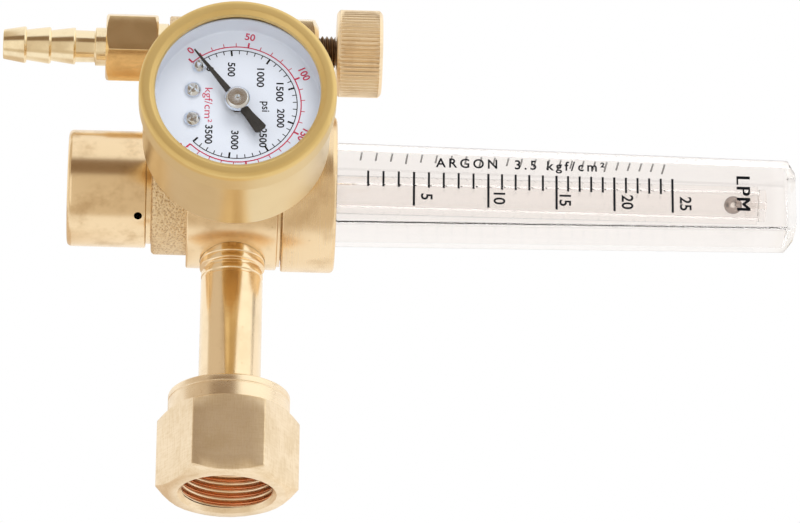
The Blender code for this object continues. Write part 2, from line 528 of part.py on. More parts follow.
def inlet():
    """Make the inlet nipple, its filter and washer, and the hexagon nut that turns on it."""
    turn, at = ALONG_X, (0.0, 0.0, 0.0)
    ring = NIPPLE_RADIUS + RING_STEP
    ring_end = RING_X + RING_LENGTH
    bore = NIPPLE_BORE + GAP
    filter_low = NOSE_X + NOSE_LENGTH - FILTER_LENGTH - 0.5
    turned("inlet_nipple", [
        (NOSE_RADIUS - NOSE_TAPER, NOSE_X + NOSE_LENGTH), (NOSE_RADIUS, NOSE_X + NOSE_LENGTH - NOSE_TAPER),
        (NOSE_RADIUS, NOSE_X), (NIPPLE_FLANGE_RADIUS, NOSE_X), (NIPPLE_FLANGE_RADIUS, FLANGE_X),
        (NIPPLE_RADIUS, FLANGE_X), (NIPPLE_RADIUS, ring_end + 1.0),
        (NIPPLE_RADIUS - RING_STEP, ring_end + 0.6),
        (NIPPLE_RADIUS - RING_STEP, ring_end), (ring, ring_end - RING_STEP), (ring, RING_X),
        (NIPPLE_STUB, RING_X),
        (NIPPLE_STUB, RING_X - NIPPLE_STUB_LENGTH), (INLET_HOLE, RING_X - NIPPLE_STUB_LENGTH),
        (INLET_HOLE, filter_low - GAP), (bore, filter_low - GAP), (bore, NOSE_X + NOSE_LENGTH)],
        "turned_brass", turn, at, FINE)
    rod("inlet_filter", NIPPLE_BORE, filter_low, filter_low + FILTER_LENGTH, "sintered_bronze", turn, at,
        COARSE)
    turned("inlet_washer", tube_profile(NIPPLE_FLANGE_RADIUS - 0.4, NOSE_RADIUS + GAP, NOSE_X + GAP,
                                        NOSE_X + GAP + WASHER_THICK), "white_seal", turn, at, MID)
    corner = HEX_ACROSS / math.sqrt(3)
    hex_low = NUT_LOW + SHOULDER_LENGTH + CONE_LENGTH
    wide = corner + CORNER_SPARE
    chamfer = (wide - HEX_FACE_RADIUS) * CHAMFER_SLOPE
    nut = turned("inlet_nut", [(0.0, 0.0), (HEX_FACE_RADIUS, 0.0), (wide, -chamfer), (wide, hex_low),
                               (SHOULDER_RADIUS, NUT_LOW + SHOULDER_LENGTH),
                               (SHOULDER_RADIUS, NUT_LOW + EDGE),
                               (SHOULDER_RADIUS - EDGE, NUT_LOW), (0.0, NUT_LOW)],
                 "turned_brass", turn, at)
    combine(nut, prism("hex_form", 6, HEX_ACROSS, NUT_LOW - PAST, PAST, None, turn, at, HEX_SPIN),
            "INTERSECT")
    back = NUT_LOW + NUT_BACK
    cut(nut, turned("nut_bore_cut", [(0.0, PAST), (MOUTH_RADIUS + PAST, PAST), (MOUTH_RADIUS, 0.0),
                                     (NUT_THREAD_BORE, -MOUTH_CHAMFER), (NUT_THREAD_BORE, back),
                                     (NIPPLE_RADIUS + GAP, back), (NIPPLE_RADIUS + GAP, NUT_LOW - PAST),
                                     (0.0, NUT_LOW - PAST)], None, turn, at))


def gauge():
    """Make the pressure gauge: case, bezel, glass, dial, pointer and the movement behind the dial."""
    turn, at = TO_FRONT, (MAIN_X, 0.0, 0.0)
    case = turned("gauge_case", [(CASE_RADIUS, CASE_FRONT)]
                  + arc(CASE_RADIUS - CASE_ROUND, CASE_BACK + CASE_ROUND, CASE_ROUND, 0, -90)
                  + [(STEM_NECK + GAP, CASE_BACK), (STEM_NECK + GAP, CASE_FLOOR),
                     (CASE_INNER - 1.6, CASE_FLOOR),
                     (CASE_INNER, CASE_FLOOR + 1.6), (CASE_INNER, CASE_FRONT)], "gauge_gold", turn, at)
    for side in (-1, 1):
        spot = (MAIN_X + side * DIAL_SCREW_SPREAD, 0.0, -DIAL_SCREW_DROP)
        join(case, rod(f"dial_post_{side}", DIAL_SCREW_RADIUS, CASE_BACK + CASE_WALL / 2, DIAL_BACK - GAP,
                       None,
                       turn, spot, COARSE))
        cut(case, rod(f"post_hole_{side}", SCREW_SHANK + GAP, DIAL_BACK - 4.0, DIAL_BACK + PAST, None,
                      turn, spot, COARSE))
    lip = GLASS_FRONT + GAP
    turned("gauge_bezel", [(WINDOW_RADIUS + 0.9, GAUGE_FRONT - 0.5)]
           + arc(BEZEL_RADIUS - 1.9, GAUGE_FRONT - 1.9, 1.9, 90, 0)
           + [(BEZEL_RADIUS, GAUGE_FRONT - BEZEL_LENGTH + EDGE),
              (BEZEL_RADIUS - EDGE, GAUGE_FRONT - BEZEL_LENGTH),
              (CASE_RADIUS + GAP, GAUGE_FRONT - BEZEL_LENGTH),
              (CASE_RADIUS + GAP, lip), (WINDOW_RADIUS, lip), (WINDOW_RADIUS, lip + 0.4)],
           "gauge_gold", turn, at)
    rod("gauge_glass", GLASS_RADIUS, GLASS_BACK, GLASS_FRONT, "clear_glass", turn, at, FINE)

    dial = turned("gauge_dial", tube_profile(DIAL_RADIUS, SHAFT_RADIUS + 0.8, DIAL_BACK, DIAL_FRONT),
                  "dial_white", turn, at)
    for index, side in enumerate((-1, 1), start=1):
        spot = (MAIN_X + side * DIAL_SCREW_SPREAD, 0.0, -DIAL_SCREW_DROP)
        cut(dial, rod(f"dial_hole_{index}", SCREW_SHANK + GAP, DIAL_BACK - PAST, DIAL_FRONT + PAST, None,
                      turn, spot, COARSE))
        seat_low = DIAL_FRONT + GAP
        turned(f"dial_screw_{index}", [(0.0, seat_low + DIAL_SCREW_HEAD),
                                       (DIAL_SCREW_RADIUS * 0.6, seat_low + DIAL_SCREW_HEAD),
                                       (DIAL_SCREW_RADIUS, seat_low + DIAL_SCREW_HEAD * 0.4),
                                       (DIAL_SCREW_RADIUS, seat_low), (SCREW_SHANK, seat_low),
                                       (SCREW_SHANK, DIAL_BACK - 3.4), (0.0, DIAL_BACK - 3.4)],
               "steel", turn, spot, COARSE)
    half_width = (POINTER_WIDTH + (POINTER_TIP_WIDTH - POINTER_WIDTH) * STOP_PIN_REACH / POINTER_REACH) / 2
    pin_angle = math.radians(POINTER_ANGLE) + math.asin((STOP_PIN_RADIUS + half_width + GAP) / STOP_PIN_REACH)
    pin_spot = (MAIN_X + STOP_PIN_REACH * math.cos(pin_angle), 0.0, STOP_PIN_REACH * math.sin(pin_angle))
    cut(dial, rod("stop_hole", STOP_PIN_RADIUS + GAP, DIAL_BACK - PAST, DIAL_FRONT + PAST, None,
                  turn, pin_spot, COARSE))
    rod("stop_pin", STOP_PIN_RADIUS, DIAL_BACK - 0.6, DIAL_FRONT + STOP_PIN_HEIGHT, "steel", turn, pin_spot,
        COARSE)
    pointer(turn, at)
    gauge_stem(turn, at)
    movement(turn, at)


def pointer(turn, at):
    """Make the black pointer and the hub cap that holds it on its shaft."""
    low = DIAL_FRONT + HUB_LIFT
    spin = turn @ Matrix.Rotation(math.radians(POINTER_ANGLE), 4, "Z")
    tip, root, tail = POINTER_TIP_WIDTH / 2, POINTER_WIDTH / 2, POINTER_TAIL_WIDTH / 2
    outline = [(POINTER_REACH, tip), (0.0, root), (-POINTER_TAIL * 0.45, root), (-POINTER_TAIL, tail),
               (-POINTER_TAIL, -tail), (-POINTER_TAIL * 0.45, -root), (0.0, -root), (POINTER_REACH, -tip)]
    blade = flat("pointer", outline, low, low + POINTER_THICK, "pointer_black", spin, at)
    disc = rod("pointer_disc", POINTER_WIDTH * 1.2, low, low + POINTER_THICK, None, turn, at, MID)
    join(blade, disc)
    cut(blade, rod("pointer_hole", SHAFT_RADIUS + GAP, low - PAST, low + PAST, None, turn, at, COARSE))
    crown = HUB_BACK + HUB_HEIGHT
    turned("pointer_hub", [(0.0, crown), (HUB_RADIUS * 0.75, crown), (HUB_RADIUS, crown - HUB_HEIGHT * 0.35),
                           (HUB_RADIUS, HUB_BACK), (SHAFT_RADIUS + GAP, HUB_BACK),
                           (SHAFT_RADIUS + GAP, HUB_BACK + HUB_HEIGHT * 0.6),
                           (0.0, HUB_BACK + HUB_HEIGHT * 0.6)],
           "steel", turn, at, MID)


def gauge_stem(turn, at):
    """Make the gauge's stem, with its hexagon and the arm that carries the pressure tube."""
    low = BOSS_REACH - STEM_DEPTH + GAP
    hex_low, hex_high = BOSS_REACH + GAP, CASE_BACK - GAP
    stem = turned("gauge_stem", [(0.0, HEAD_FRONT), (STEM_NECK + STEM_LIP, HEAD_FRONT),
                                 (STEM_NECK + STEM_LIP, HEAD_BACK),
                                 (STEM_NECK, HEAD_BACK), (STEM_NECK, (hex_low + hex_high) / 2),
                                 (STEM_THREAD, (hex_low + hex_high) / 2), (STEM_THREAD, low + EDGE),
                                 (STEM_THREAD - EDGE, low), (0.0, low)], "turned_brass", turn, at, MID)
    join(stem, prism("stem_hex", 6, STEM_HEX, hex_low, hex_high, None, turn, at))
    reach = BOURDON_RADIUS + BOURDON_HALF_THICK
    join(stem, block("stem_arm", (0.0, -ARM_WIDTH / 2, HEAD_BACK), (reach, ARM_WIDTH / 2, HEAD_FRONT), None,
                     at=at, turn=turn))
    cut(stem, rod("stem_bore_cut", STEM_BORE, low - PAST, HEAD_BACK + HEAD_PLATE / 2, None, turn, at, COARSE),
        rod("arm_bore_cut", STEM_BORE * 0.7, 0.0, BOURDON_RADIUS, None,
            turn @ Matrix.Translation((0.0, 0.0, (HEAD_BACK + HEAD_PLATE / 2) * MM)) @ ALONG_X, at, COARSE),
        rod("tube_foot_cut", STEM_BORE * 0.7, HEAD_BACK + HEAD_PLATE / 2, HEAD_FRONT + PAST, None, turn,
            (at[0] + BOURDON_RADIUS - FOOT_INSET, at[1], at[2]), COARSE))


def movement(turn, at):
    """Make the pressure tube, the toothed sector's plate, the link, the pointer shaft and two plates."""
    section = bpy.data.curves.new("bourdon_section", "CURVE")
    section.dimensions = "2D"
    spline = section.splines.new("POLY")
    sides = 8
    spline.points.add(sides - 1)
    for i, point in enumerate(spline.points):
        angle = math.tau * i / sides
        point.co = (BOURDON_HALF_THICK * MM * math.cos(angle), BOURDON_HALF_WIDE * MM * math.sin(angle), 0.0,
                    1.0)
    spline.use_cyclic_u = True
    oval = place(section, "bourdon_section", None)
    steps = 24
    path = []
    for i in range(steps + 1):
        angle = math.radians(BOURDON_START + BOURDON_SWEEP * i / steps)
        path.append((BOURDON_RADIUS * math.cos(angle), BOURDON_RADIUS * math.sin(angle), BOURDON_MID))
    wire("bourdon_tube", path, 0.0, "turned_brass", at, turn, oval)

    def plate(name, low):
        """Make one movement plate with its two bearing holes."""
        solid = block(name, (-PLATE_HALF_WIDTH, -PLATE_BELOW, low),
                      (PLATE_HALF_WIDTH, PLATE_ABOVE, low + MOVEMENT_PLATE), "turned_brass", at=at, turn=turn)
        for tag, rise in (("shaft", 0.0), ("pivot", PIVOT_RISE)):
            cut(solid, rod(f"{name}_{tag}_hole", SHAFT_RADIUS + GAP, low - PAST, low + PAST, None, turn,
                           (at[0], at[1], at[2] + rise), COARSE))
        return solid

    back_plate = plate("movement_back_plate", BACK_PLATE)
    for side in (-1, 1):
        join(back_plate, rod(f"pillar_{side}", PILLAR_RADIUS, BACK_PLATE + MOVEMENT_PLATE / 2,
                             FRONT_PLATE - GAP,
                             None, turn, (at[0] + side * PILLAR_SPREAD, at[1], at[2] - PILLAR_DROP), COARSE))
    plate("movement_front_plate", FRONT_PLATE)

    pinion_low, pinion_high = SECTOR_BACK - 0.5, SECTOR_BACK + SECTOR_THICK + 0.5
    turned("pointer_shaft", [(0.0, HUB_BACK + 0.6), (SHAFT_RADIUS, HUB_BACK + 0.6),
                             (SHAFT_RADIUS, pinion_high),
                             (PINION_RADIUS, pinion_high), (PINION_RADIUS, pinion_low),
                             (SHAFT_RADIUS, pinion_low),
                             (SHAFT_RADIUS, SHAFT_BACK), (0.0, SHAFT_BACK)], "turned_brass", turn, at, COARSE)
    pivot = (at[0], at[1], at[2] + PIVOT_RISE)
    centre = -90.0 - SECTOR_LEAN
    outline = [(SECTOR_RADIUS * math.cos(math.radians(a)), SECTOR_RADIUS * math.sin(math.radians(a)))
               for a in [centre - SECTOR_HALF_SPAN + 2 * SECTOR_HALF_SPAN * i / 10 for i in range(11)]]
    outline += [(SHAFT_RADIUS + 0.9, 0.0), (TAIL_X + 0.9, TAIL_Z - 0.9), (TAIL_X + 0.9, TAIL_Z + 0.9),
                (TAIL_X - 0.9, TAIL_Z + 0.9), (-SHAFT_RADIUS - 0.4, SHAFT_RADIUS + 0.9)]
    sector = flat("sector_gear", outline, SECTOR_BACK, SECTOR_BACK + SECTOR_THICK, "turned_brass", turn,
                  pivot)
    tail = (pivot[0] + TAIL_X, pivot[1], pivot[2] + TAIL_Z)
    join(sector, rod("sector_shaft", SHAFT_RADIUS, SHAFT_BACK, FRONT_PLATE + MOVEMENT_PLATE - 0.1, None, turn,
                     pivot, COARSE),
         rod("tail_pin", TAIL_PIN, SECTOR_BACK + SECTOR_THICK / 2, LINK_BACK + LINK_THICK, None, turn, tail,
             COARSE))
    end = math.radians(BOURDON_START + BOURDON_SWEEP + 4.0)
    tip = (at[0] + BOURDON_RADIUS * math.cos(end), at[1], at[2] + BOURDON_RADIUS * math.sin(end))
    run, rise = tip[0] - tail[0], tip[2] - tail[2]
    length, tilt = math.hypot(run, rise), math.atan2(rise, run)
    swing = turn @ Matrix.Rotation(tilt, 4, "Z")
    link = block("gauge_link", (0.0, -LINK_EYE / 2, LINK_BACK),
                 (length, LINK_EYE / 2, LINK_BACK + LINK_THICK),
                 "steel", at=tail, turn=swing)
    join(link, rod("link_eye", LINK_EYE, LINK_BACK, LINK_BACK + LINK_THICK, None, turn, tail, COARSE),
         rod("link_end", LINK_EYE * 0.8, LINK_BACK, LINK_BACK + LINK_THICK, None, turn, tip, COARSE))
    cut(link, rod("link_hole", TAIL_PIN + GAP, LINK_BACK - PAST, LINK_BACK + PAST, None, turn, tail, COARSE))


def flow_tube():
    """Make the collar, the clear cover, the tapered metering tube, its ball and its stop, with the seals."""
    main = (MAIN_X, 0.0, 0.0)
    band = 1.2
    turned("tube_collar", [(COLLAR_HOLE, COLLAR_HIGH), (COLLAR_RADIUS - band / 2, COLLAR_HIGH),
                           (COLLAR_RADIUS, COLLAR_HIGH - band / 2), (COLLAR_RADIUS, COLLAR_LOW + EDGE),
                           (COLLAR_RADIUS - EDGE, COLLAR_LOW), (COLLAR_BORE, COLLAR_LOW),
                           (COLLAR_BORE, COLLAR_HIGH - COLLAR_LIP), (COLLAR_HOLE, COLLAR_HIGH - COLLAR_LIP)],
           "turned_brass", ALONG_Z, main)
    cover = block("flow_tube_cover", (-COVER_X0, -COVER_Y0, COVER_LOW), (COVER_X0, COVER_Y0, COVER_HIGH),
                  "clear_plastic", (COVER_X1 / COVER_X0, COVER_Y1 / COVER_Y0), main)
    soften(cover, COVER_HIGH)
    join(cover, rod("cover_flange", COVER_FLANGE_RADIUS, COVER_LOW, COVER_FLANGE_HIGH, None, ALONG_Z, main,
                    FINE))
    cavity_high = COVER_HIGH - COVER_END
    cut(cover, block("cover_cavity", (-COVER_X0 + COVER_WALL, -COVER_Y0 + COVER_WALL, COVER_LOW - PAST),
                     (COVER_X0 - COVER_WALL, COVER_Y0 - COVER_WALL, cavity_high), None,
                     ((COVER_X1 - COVER_WALL) / (COVER_X0 - COVER_WALL),
                      (COVER_Y1 - COVER_WALL) / (COVER_Y0 - COVER_WALL)), main))
    seal_low = SPIGOT_HIGH + GAP
    ring = [(COVER_FLANGE_RADIUS - RING_SECTION + r, seal_low + h)
            for r, h in arc(0.0, (COVER_LOW - GAP - seal_low) / 2, (COVER_LOW - GAP - seal_low) / 2, 90,
                            -225, 7)]
    turned("cover_o_ring", ring, "rubber", ALONG_Z, main, MID)

    turned("metering_tube", [(TUBE_RADIUS, TUBE_HIGH), (TUBE_RADIUS, TUBE_LOW), (TUBE_BORE_LOW, TUBE_LOW),
                             (TUBE_BORE_HIGH, TUBE_HIGH)], "clear_plastic", ALONG_Z, main, MID)
    mesh = bpy.data.meshes.new("flow_ball")
    bm = bmesh.new()
    bmesh.ops.create_uvsphere(bm, u_segments=16, v_segments=10, radius=BALL_RADIUS * MM)
    bm.to_mesh(mesh)
    bm.free()
    place(mesh, "flow_ball", "steel", ALONG_Z, (MAIN_X, 0.0, BALL_Z))
    head_low = TUBE_HIGH + GAP
    turned("tube_stop", [(STOP_HEAD_RADIUS, head_low + STOP_HEAD), (STOP_HEAD_RADIUS, head_low),
                         (TUBE_BORE_HIGH - GAP - 0.05, head_low),
                         (TUBE_BORE_HIGH - GAP - 0.05, head_low - STOP_STUB),
                         (STOP_HOLE, head_low - STOP_STUB), (STOP_HOLE, head_low + STOP_HEAD)],
           "clear_plastic", ALONG_Z, main, COARSE)


def soften(obj, high):
    """Chamfer the far end of the cover and break its long corners."""
    bm = bmesh.new()
    bm.from_mesh(obj.data)
    top = [e for e in bm.edges if all(abs(v.co.z - high * MM) < 1e-7 for v in e.verts)]
    bmesh.ops.bevel(bm, geom=top, offset=COVER_CHAMFER * MM, segments=1, affect="EDGES")
    long = [e for e in bm.edges if abs(e.verts[0].co.z - e.verts[1].co.z) > (high - COVER_LOW) * MM / 2]
    bmesh.ops.bevel(bm, geom=long, offset=COVER_CORNER * MM, segments=1, affect="EDGES")
    bm.to_mesh(obj.data)
    bm.free()


def needle_valve():
    """Make the gland nut, its seal ring, the needle stem and the knurled knob."""
    valve = (VALVE_X, 0.0, 0.0)
    wide = VALVE_HEX / math.sqrt(3) + CORNER_SPARE
    face = VALVE_HEX / 2 - GLAND_FACE_DROP
    chamfer = (wide - face) * CHAMFER_SLOPE
    thread_low = GLAND_LOW - GLAND_THREAD_LENGTH
    gland = turned("gland_nut", [(0.0, GLAND_HIGH), (face, GLAND_HIGH), (wide, GLAND_HIGH - chamfer),
                                 (wide, GLAND_LOW), (0.0, GLAND_LOW)], "turned_brass", ALONG_Z, valve)
    combine(gland, prism("gland_form", 6, VALVE_HEX, GLAND_LOW - PAST, GLAND_HIGH + PAST, None, ALONG_Z,
                         valve,
                         HEX_SPIN), "INTERSECT")
    join(gland, rod("gland_thread", GLAND_THREAD, thread_low, GLAND_LOW + 1.0, None, ALONG_Z, valve))
    cut(gland, rod("gland_bore", STEM_RADIUS + GAP, thread_low - PAST, GLAND_HIGH + PAST, None, ALONG_Z,
                   valve))
    cone_low = SEAT_Z + NEEDLE_LIFT
    cone_high = cone_low + NEEDLE_CONE
    stem_low = thread_low + GAP
    turned("stem_seal", tube_profile(GLAND_THREAD - 0.2, NEEDLE_RADIUS + GAP, CHAMBER_TOP + GAP,
                                     thread_low - GAP),
           "rubber", ALONG_Z, valve, COARSE)
    turned("needle_stem", [(0.0, KNOB_HIGH - KNOB_CAP - GAP), (KNOB_BORE - GAP, KNOB_HIGH - KNOB_CAP - GAP),
                           (KNOB_BORE - GAP, KNOB_LOW - GAP), (STEM_RADIUS, KNOB_LOW - GAP),
                           (STEM_RADIUS, stem_low), (NEEDLE_RADIUS, stem_low), (NEEDLE_RADIUS, cone_high),
                           (NEEDLE_TIP, cone_low), (0.0, cone_low)], "dark_brass", ALONG_Z, valve, MID)
    knob = turned("knob", [(0.0, KNOB_HIGH), (KNOB_RADIUS - KNOB_CHAMFER, KNOB_HIGH),
                           (KNOB_RADIUS, KNOB_HIGH - KNOB_CHAMFER), (KNOB_RADIUS, KNOB_LOW + KNOB_CHAMFER),
                           (KNOB_RADIUS - KNOB_CHAMFER, KNOB_LOW), (0.0, KNOB_LOW)], "turned_brass", ALONG_Z,
                           valve)
    cut(knob, rod("knob_bore", KNOB_BORE, KNOB_LOW - PAST, KNOB_HIGH - KNOB_CAP, None, ALONG_Z, valve))


def hose_barb():
    """Make the outlet hose barb: one turned piece with a hexagon, three ridges and a thread."""
    valve = (VALVE_X, 0.0, 0.0)
    collar_low = BLOCK_LOW - GAP - BARB_COLLAR_LENGTH
    hex_low = collar_low - BARB_HEX_LENGTH
    ring_low = hex_low - BARB_RING
    profile = [(BARB_BORE, SEAT_Z - SEAT_WALL - GAP), (BARB_THREAD, SEAT_Z - SEAT_WALL - GAP),
               (BARB_THREAD, BLOCK_LOW - GAP), (BARB_COLLAR, BLOCK_LOW - GAP), (BARB_COLLAR, hex_low + 1.0),
               (BARB_RING_RADIUS, hex_low + 1.0), (BARB_RING_RADIUS, ring_low), (BARB_NECK_RADIUS, ring_low)]
    high = ring_low - BARB_NECK
    for ridge in range(RIDGES):
        last = ridge == RIDGES - 1
        drop, root = (TIP_LENGTH, TIP_RADIUS) if last else (RIDGE_PITCH, VALLEY_RADIUS)
        profile += [(RIDGE_RADIUS - 0.2, high), (RIDGE_RADIUS, high - 0.4), (root, high - drop)]
        high -= drop
    profile.append((BARB_BORE, high))
    barb = turned("hose_barb", profile, "turned_brass", ALONG_Z, valve, MID)
    wide = VALVE_HEX / math.sqrt(3) + CORNER_SPARE
    face = VALVE_HEX / 2 - BARB_FACE_DROP
    slope = (wide - face) * CHAMFER_SLOPE
    nut = turned("barb_hex", [(BARB_BORE + 1.0, collar_low), (face, collar_low), (wide, collar_low - slope),
                              (wide, hex_low + slope), (face, hex_low), (BARB_BORE + 1.0, hex_low)],
                 None, ALONG_Z, valve)
    combine(nut, prism("barb_form", 6, VALVE_HEX, hex_low - PAST, collar_low + PAST, None, ALONG_Z, valve,
                       HEX_SPIN),
            "INTERSECT")
    join(barb, nut)


def main():
    """Build every piece of the regulator."""
    clear_scene()
    body()
    bonnet()
    seat()
    inlet()
    gauge()
    flow_tube()
    needle_valve()
    hose_barb()
    bpy.context.view_layer.update()


main()
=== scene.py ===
"""Looks of the argon flowmeter regulator: turned and forged brass, a gold gauge, and a clear flow tube.

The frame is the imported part's own: metres, the origin in the inlet nut's mouth, +X out of the mouth,
+Z up the flow tube, the gauge looking along -Y. Sizes here are millimetres, and each mesh is turned
into metres when it is made.
"""

import logging
import math
from dataclasses import dataclass, field
from enum import Enum
from typing import Callable, Sequence

import bmesh
import bpy
import numpy as np
from mathutils import Matrix, Vector


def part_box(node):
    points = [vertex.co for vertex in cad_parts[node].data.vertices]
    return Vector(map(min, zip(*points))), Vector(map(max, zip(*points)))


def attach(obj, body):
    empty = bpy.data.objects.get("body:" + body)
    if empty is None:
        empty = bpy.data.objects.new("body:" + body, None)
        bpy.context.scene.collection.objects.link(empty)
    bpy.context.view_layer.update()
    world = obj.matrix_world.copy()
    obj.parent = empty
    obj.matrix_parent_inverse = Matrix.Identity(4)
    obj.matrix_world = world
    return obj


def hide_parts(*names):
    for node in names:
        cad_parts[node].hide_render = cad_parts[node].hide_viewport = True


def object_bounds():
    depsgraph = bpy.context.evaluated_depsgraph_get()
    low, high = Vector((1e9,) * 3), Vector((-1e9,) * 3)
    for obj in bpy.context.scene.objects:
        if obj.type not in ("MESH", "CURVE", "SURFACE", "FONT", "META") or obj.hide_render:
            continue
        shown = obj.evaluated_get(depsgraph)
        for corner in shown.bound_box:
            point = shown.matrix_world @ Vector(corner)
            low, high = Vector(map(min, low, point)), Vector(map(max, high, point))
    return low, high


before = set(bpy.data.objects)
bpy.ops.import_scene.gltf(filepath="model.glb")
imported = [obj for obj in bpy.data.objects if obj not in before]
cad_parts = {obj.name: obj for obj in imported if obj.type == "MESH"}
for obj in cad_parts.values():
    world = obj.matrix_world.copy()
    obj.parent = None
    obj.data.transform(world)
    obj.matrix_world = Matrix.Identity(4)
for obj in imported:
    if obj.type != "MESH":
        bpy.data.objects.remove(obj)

LOG = logging.getLogger("flowmeter")
CAD_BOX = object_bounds()

Pair = tuple[float, float]
Triple = tuple[float, float, float]

# A millimetre in metres, and below it sizes in millimetres: where the body's and the needle valve's
# axes stand, the gap that is left between pieces, and the clear cover's foot and end with its half
# sizes there.
MM = 0.001
MAIN_X = -72.6
VALVE_X = -107.9
ON_MAIN = (MAIN_X, 0.0, 0.0)
ON_VALVE = (VALVE_X, 0.0, 0.0)
AT_MOUTH = (0.0, 0.0, 0.0)
CLEAR = 0.3
COVER_SPAN = (19.4, 124.7)
COVER_HALF_X = (10.05, 8.6)
COVER_HALF_Y = (6.4, 6.25)

# How a hexagon's corners are cut: at 30 degrees.
CONE_SLOPE = math.tan(math.radians(30))

# How many steps go round a turned piece, the angle in degrees past which an edge stays sharp, and how
# high the font's capitals are at a size of 1.
STEPS = 160
SHARP = 32.0
CAP_HEIGHT = 0.729


class Heading(Enum):
    """Which way a piece's own axis points: its rows are the piece's x, y and z in the frame."""

    UP = ((1, 0, 0), (0, 1, 0), (0, 0, 1))
    MOUTH = ((0, 0, -1), (0, 1, 0), (1, 0, 0))
    FRONT = ((1, 0, 0), (0, 0, 1), (0, -1, 0))

    def carry(self, points: np.ndarray, at: Sequence[float]) -> np.ndarray:
        """Turn points from the piece's axes into the frame and move them.

        Args:
            points: Points in millimetres, the last axis being x, y and z.
            at: Where the piece's own origin goes, in millimetres.

        Returns:
            The points in the frame: at + x times the first row + y times the second + z times the third.
        """
        return points @ np.array(self.value, dtype=float) + np.array(at, dtype=float)


@dataclass
class Value:
    """A number in a shader, so that a formula in Python adds its Math nodes."""

    graph: "Graph"
    socket: bpy.types.NodeSocket

    def _with(self, operation: str, *others: "Value | float") -> "Value":
        """Add one Math node on this value."""
        return self.graph.math(operation, self, *others)

    def __add__(self, other: "Value | float") -> "Value":
        """Return self + other."""
        return self._with("ADD", other)

    __radd__ = __add__

    def __sub__(self, other: "Value | float") -> "Value":
        """Return self - other."""
        return self._with("SUBTRACT", other)

    def __rsub__(self, other: float) -> "Value":
        """Return other - self."""
        return self.graph.math("SUBTRACT", other, self)

    def __mul__(self, other: "Value | float") -> "Value":
        """Return self * other."""
        return self._with("MULTIPLY", other)

    __rmul__ = __mul__

    def band(self, low: float, high: float) -> "Value":
        """Return 0 below low, 1 above high and a smooth rise between them."""
        return self.graph.ramp(self, low, high)

    def square_root(self) -> "Value":
        """Return the square root."""
        return self._with("SQRT")

    def size(self) -> "Value":
        """Return the distance from 0."""
        return self._with("ABSOLUTE")

    def clamp(self) -> "Value":
        """Return this value held between 0 and 1."""
        return self._with("MAXIMUM", 0.0)._with("MINIMUM", 1.0)


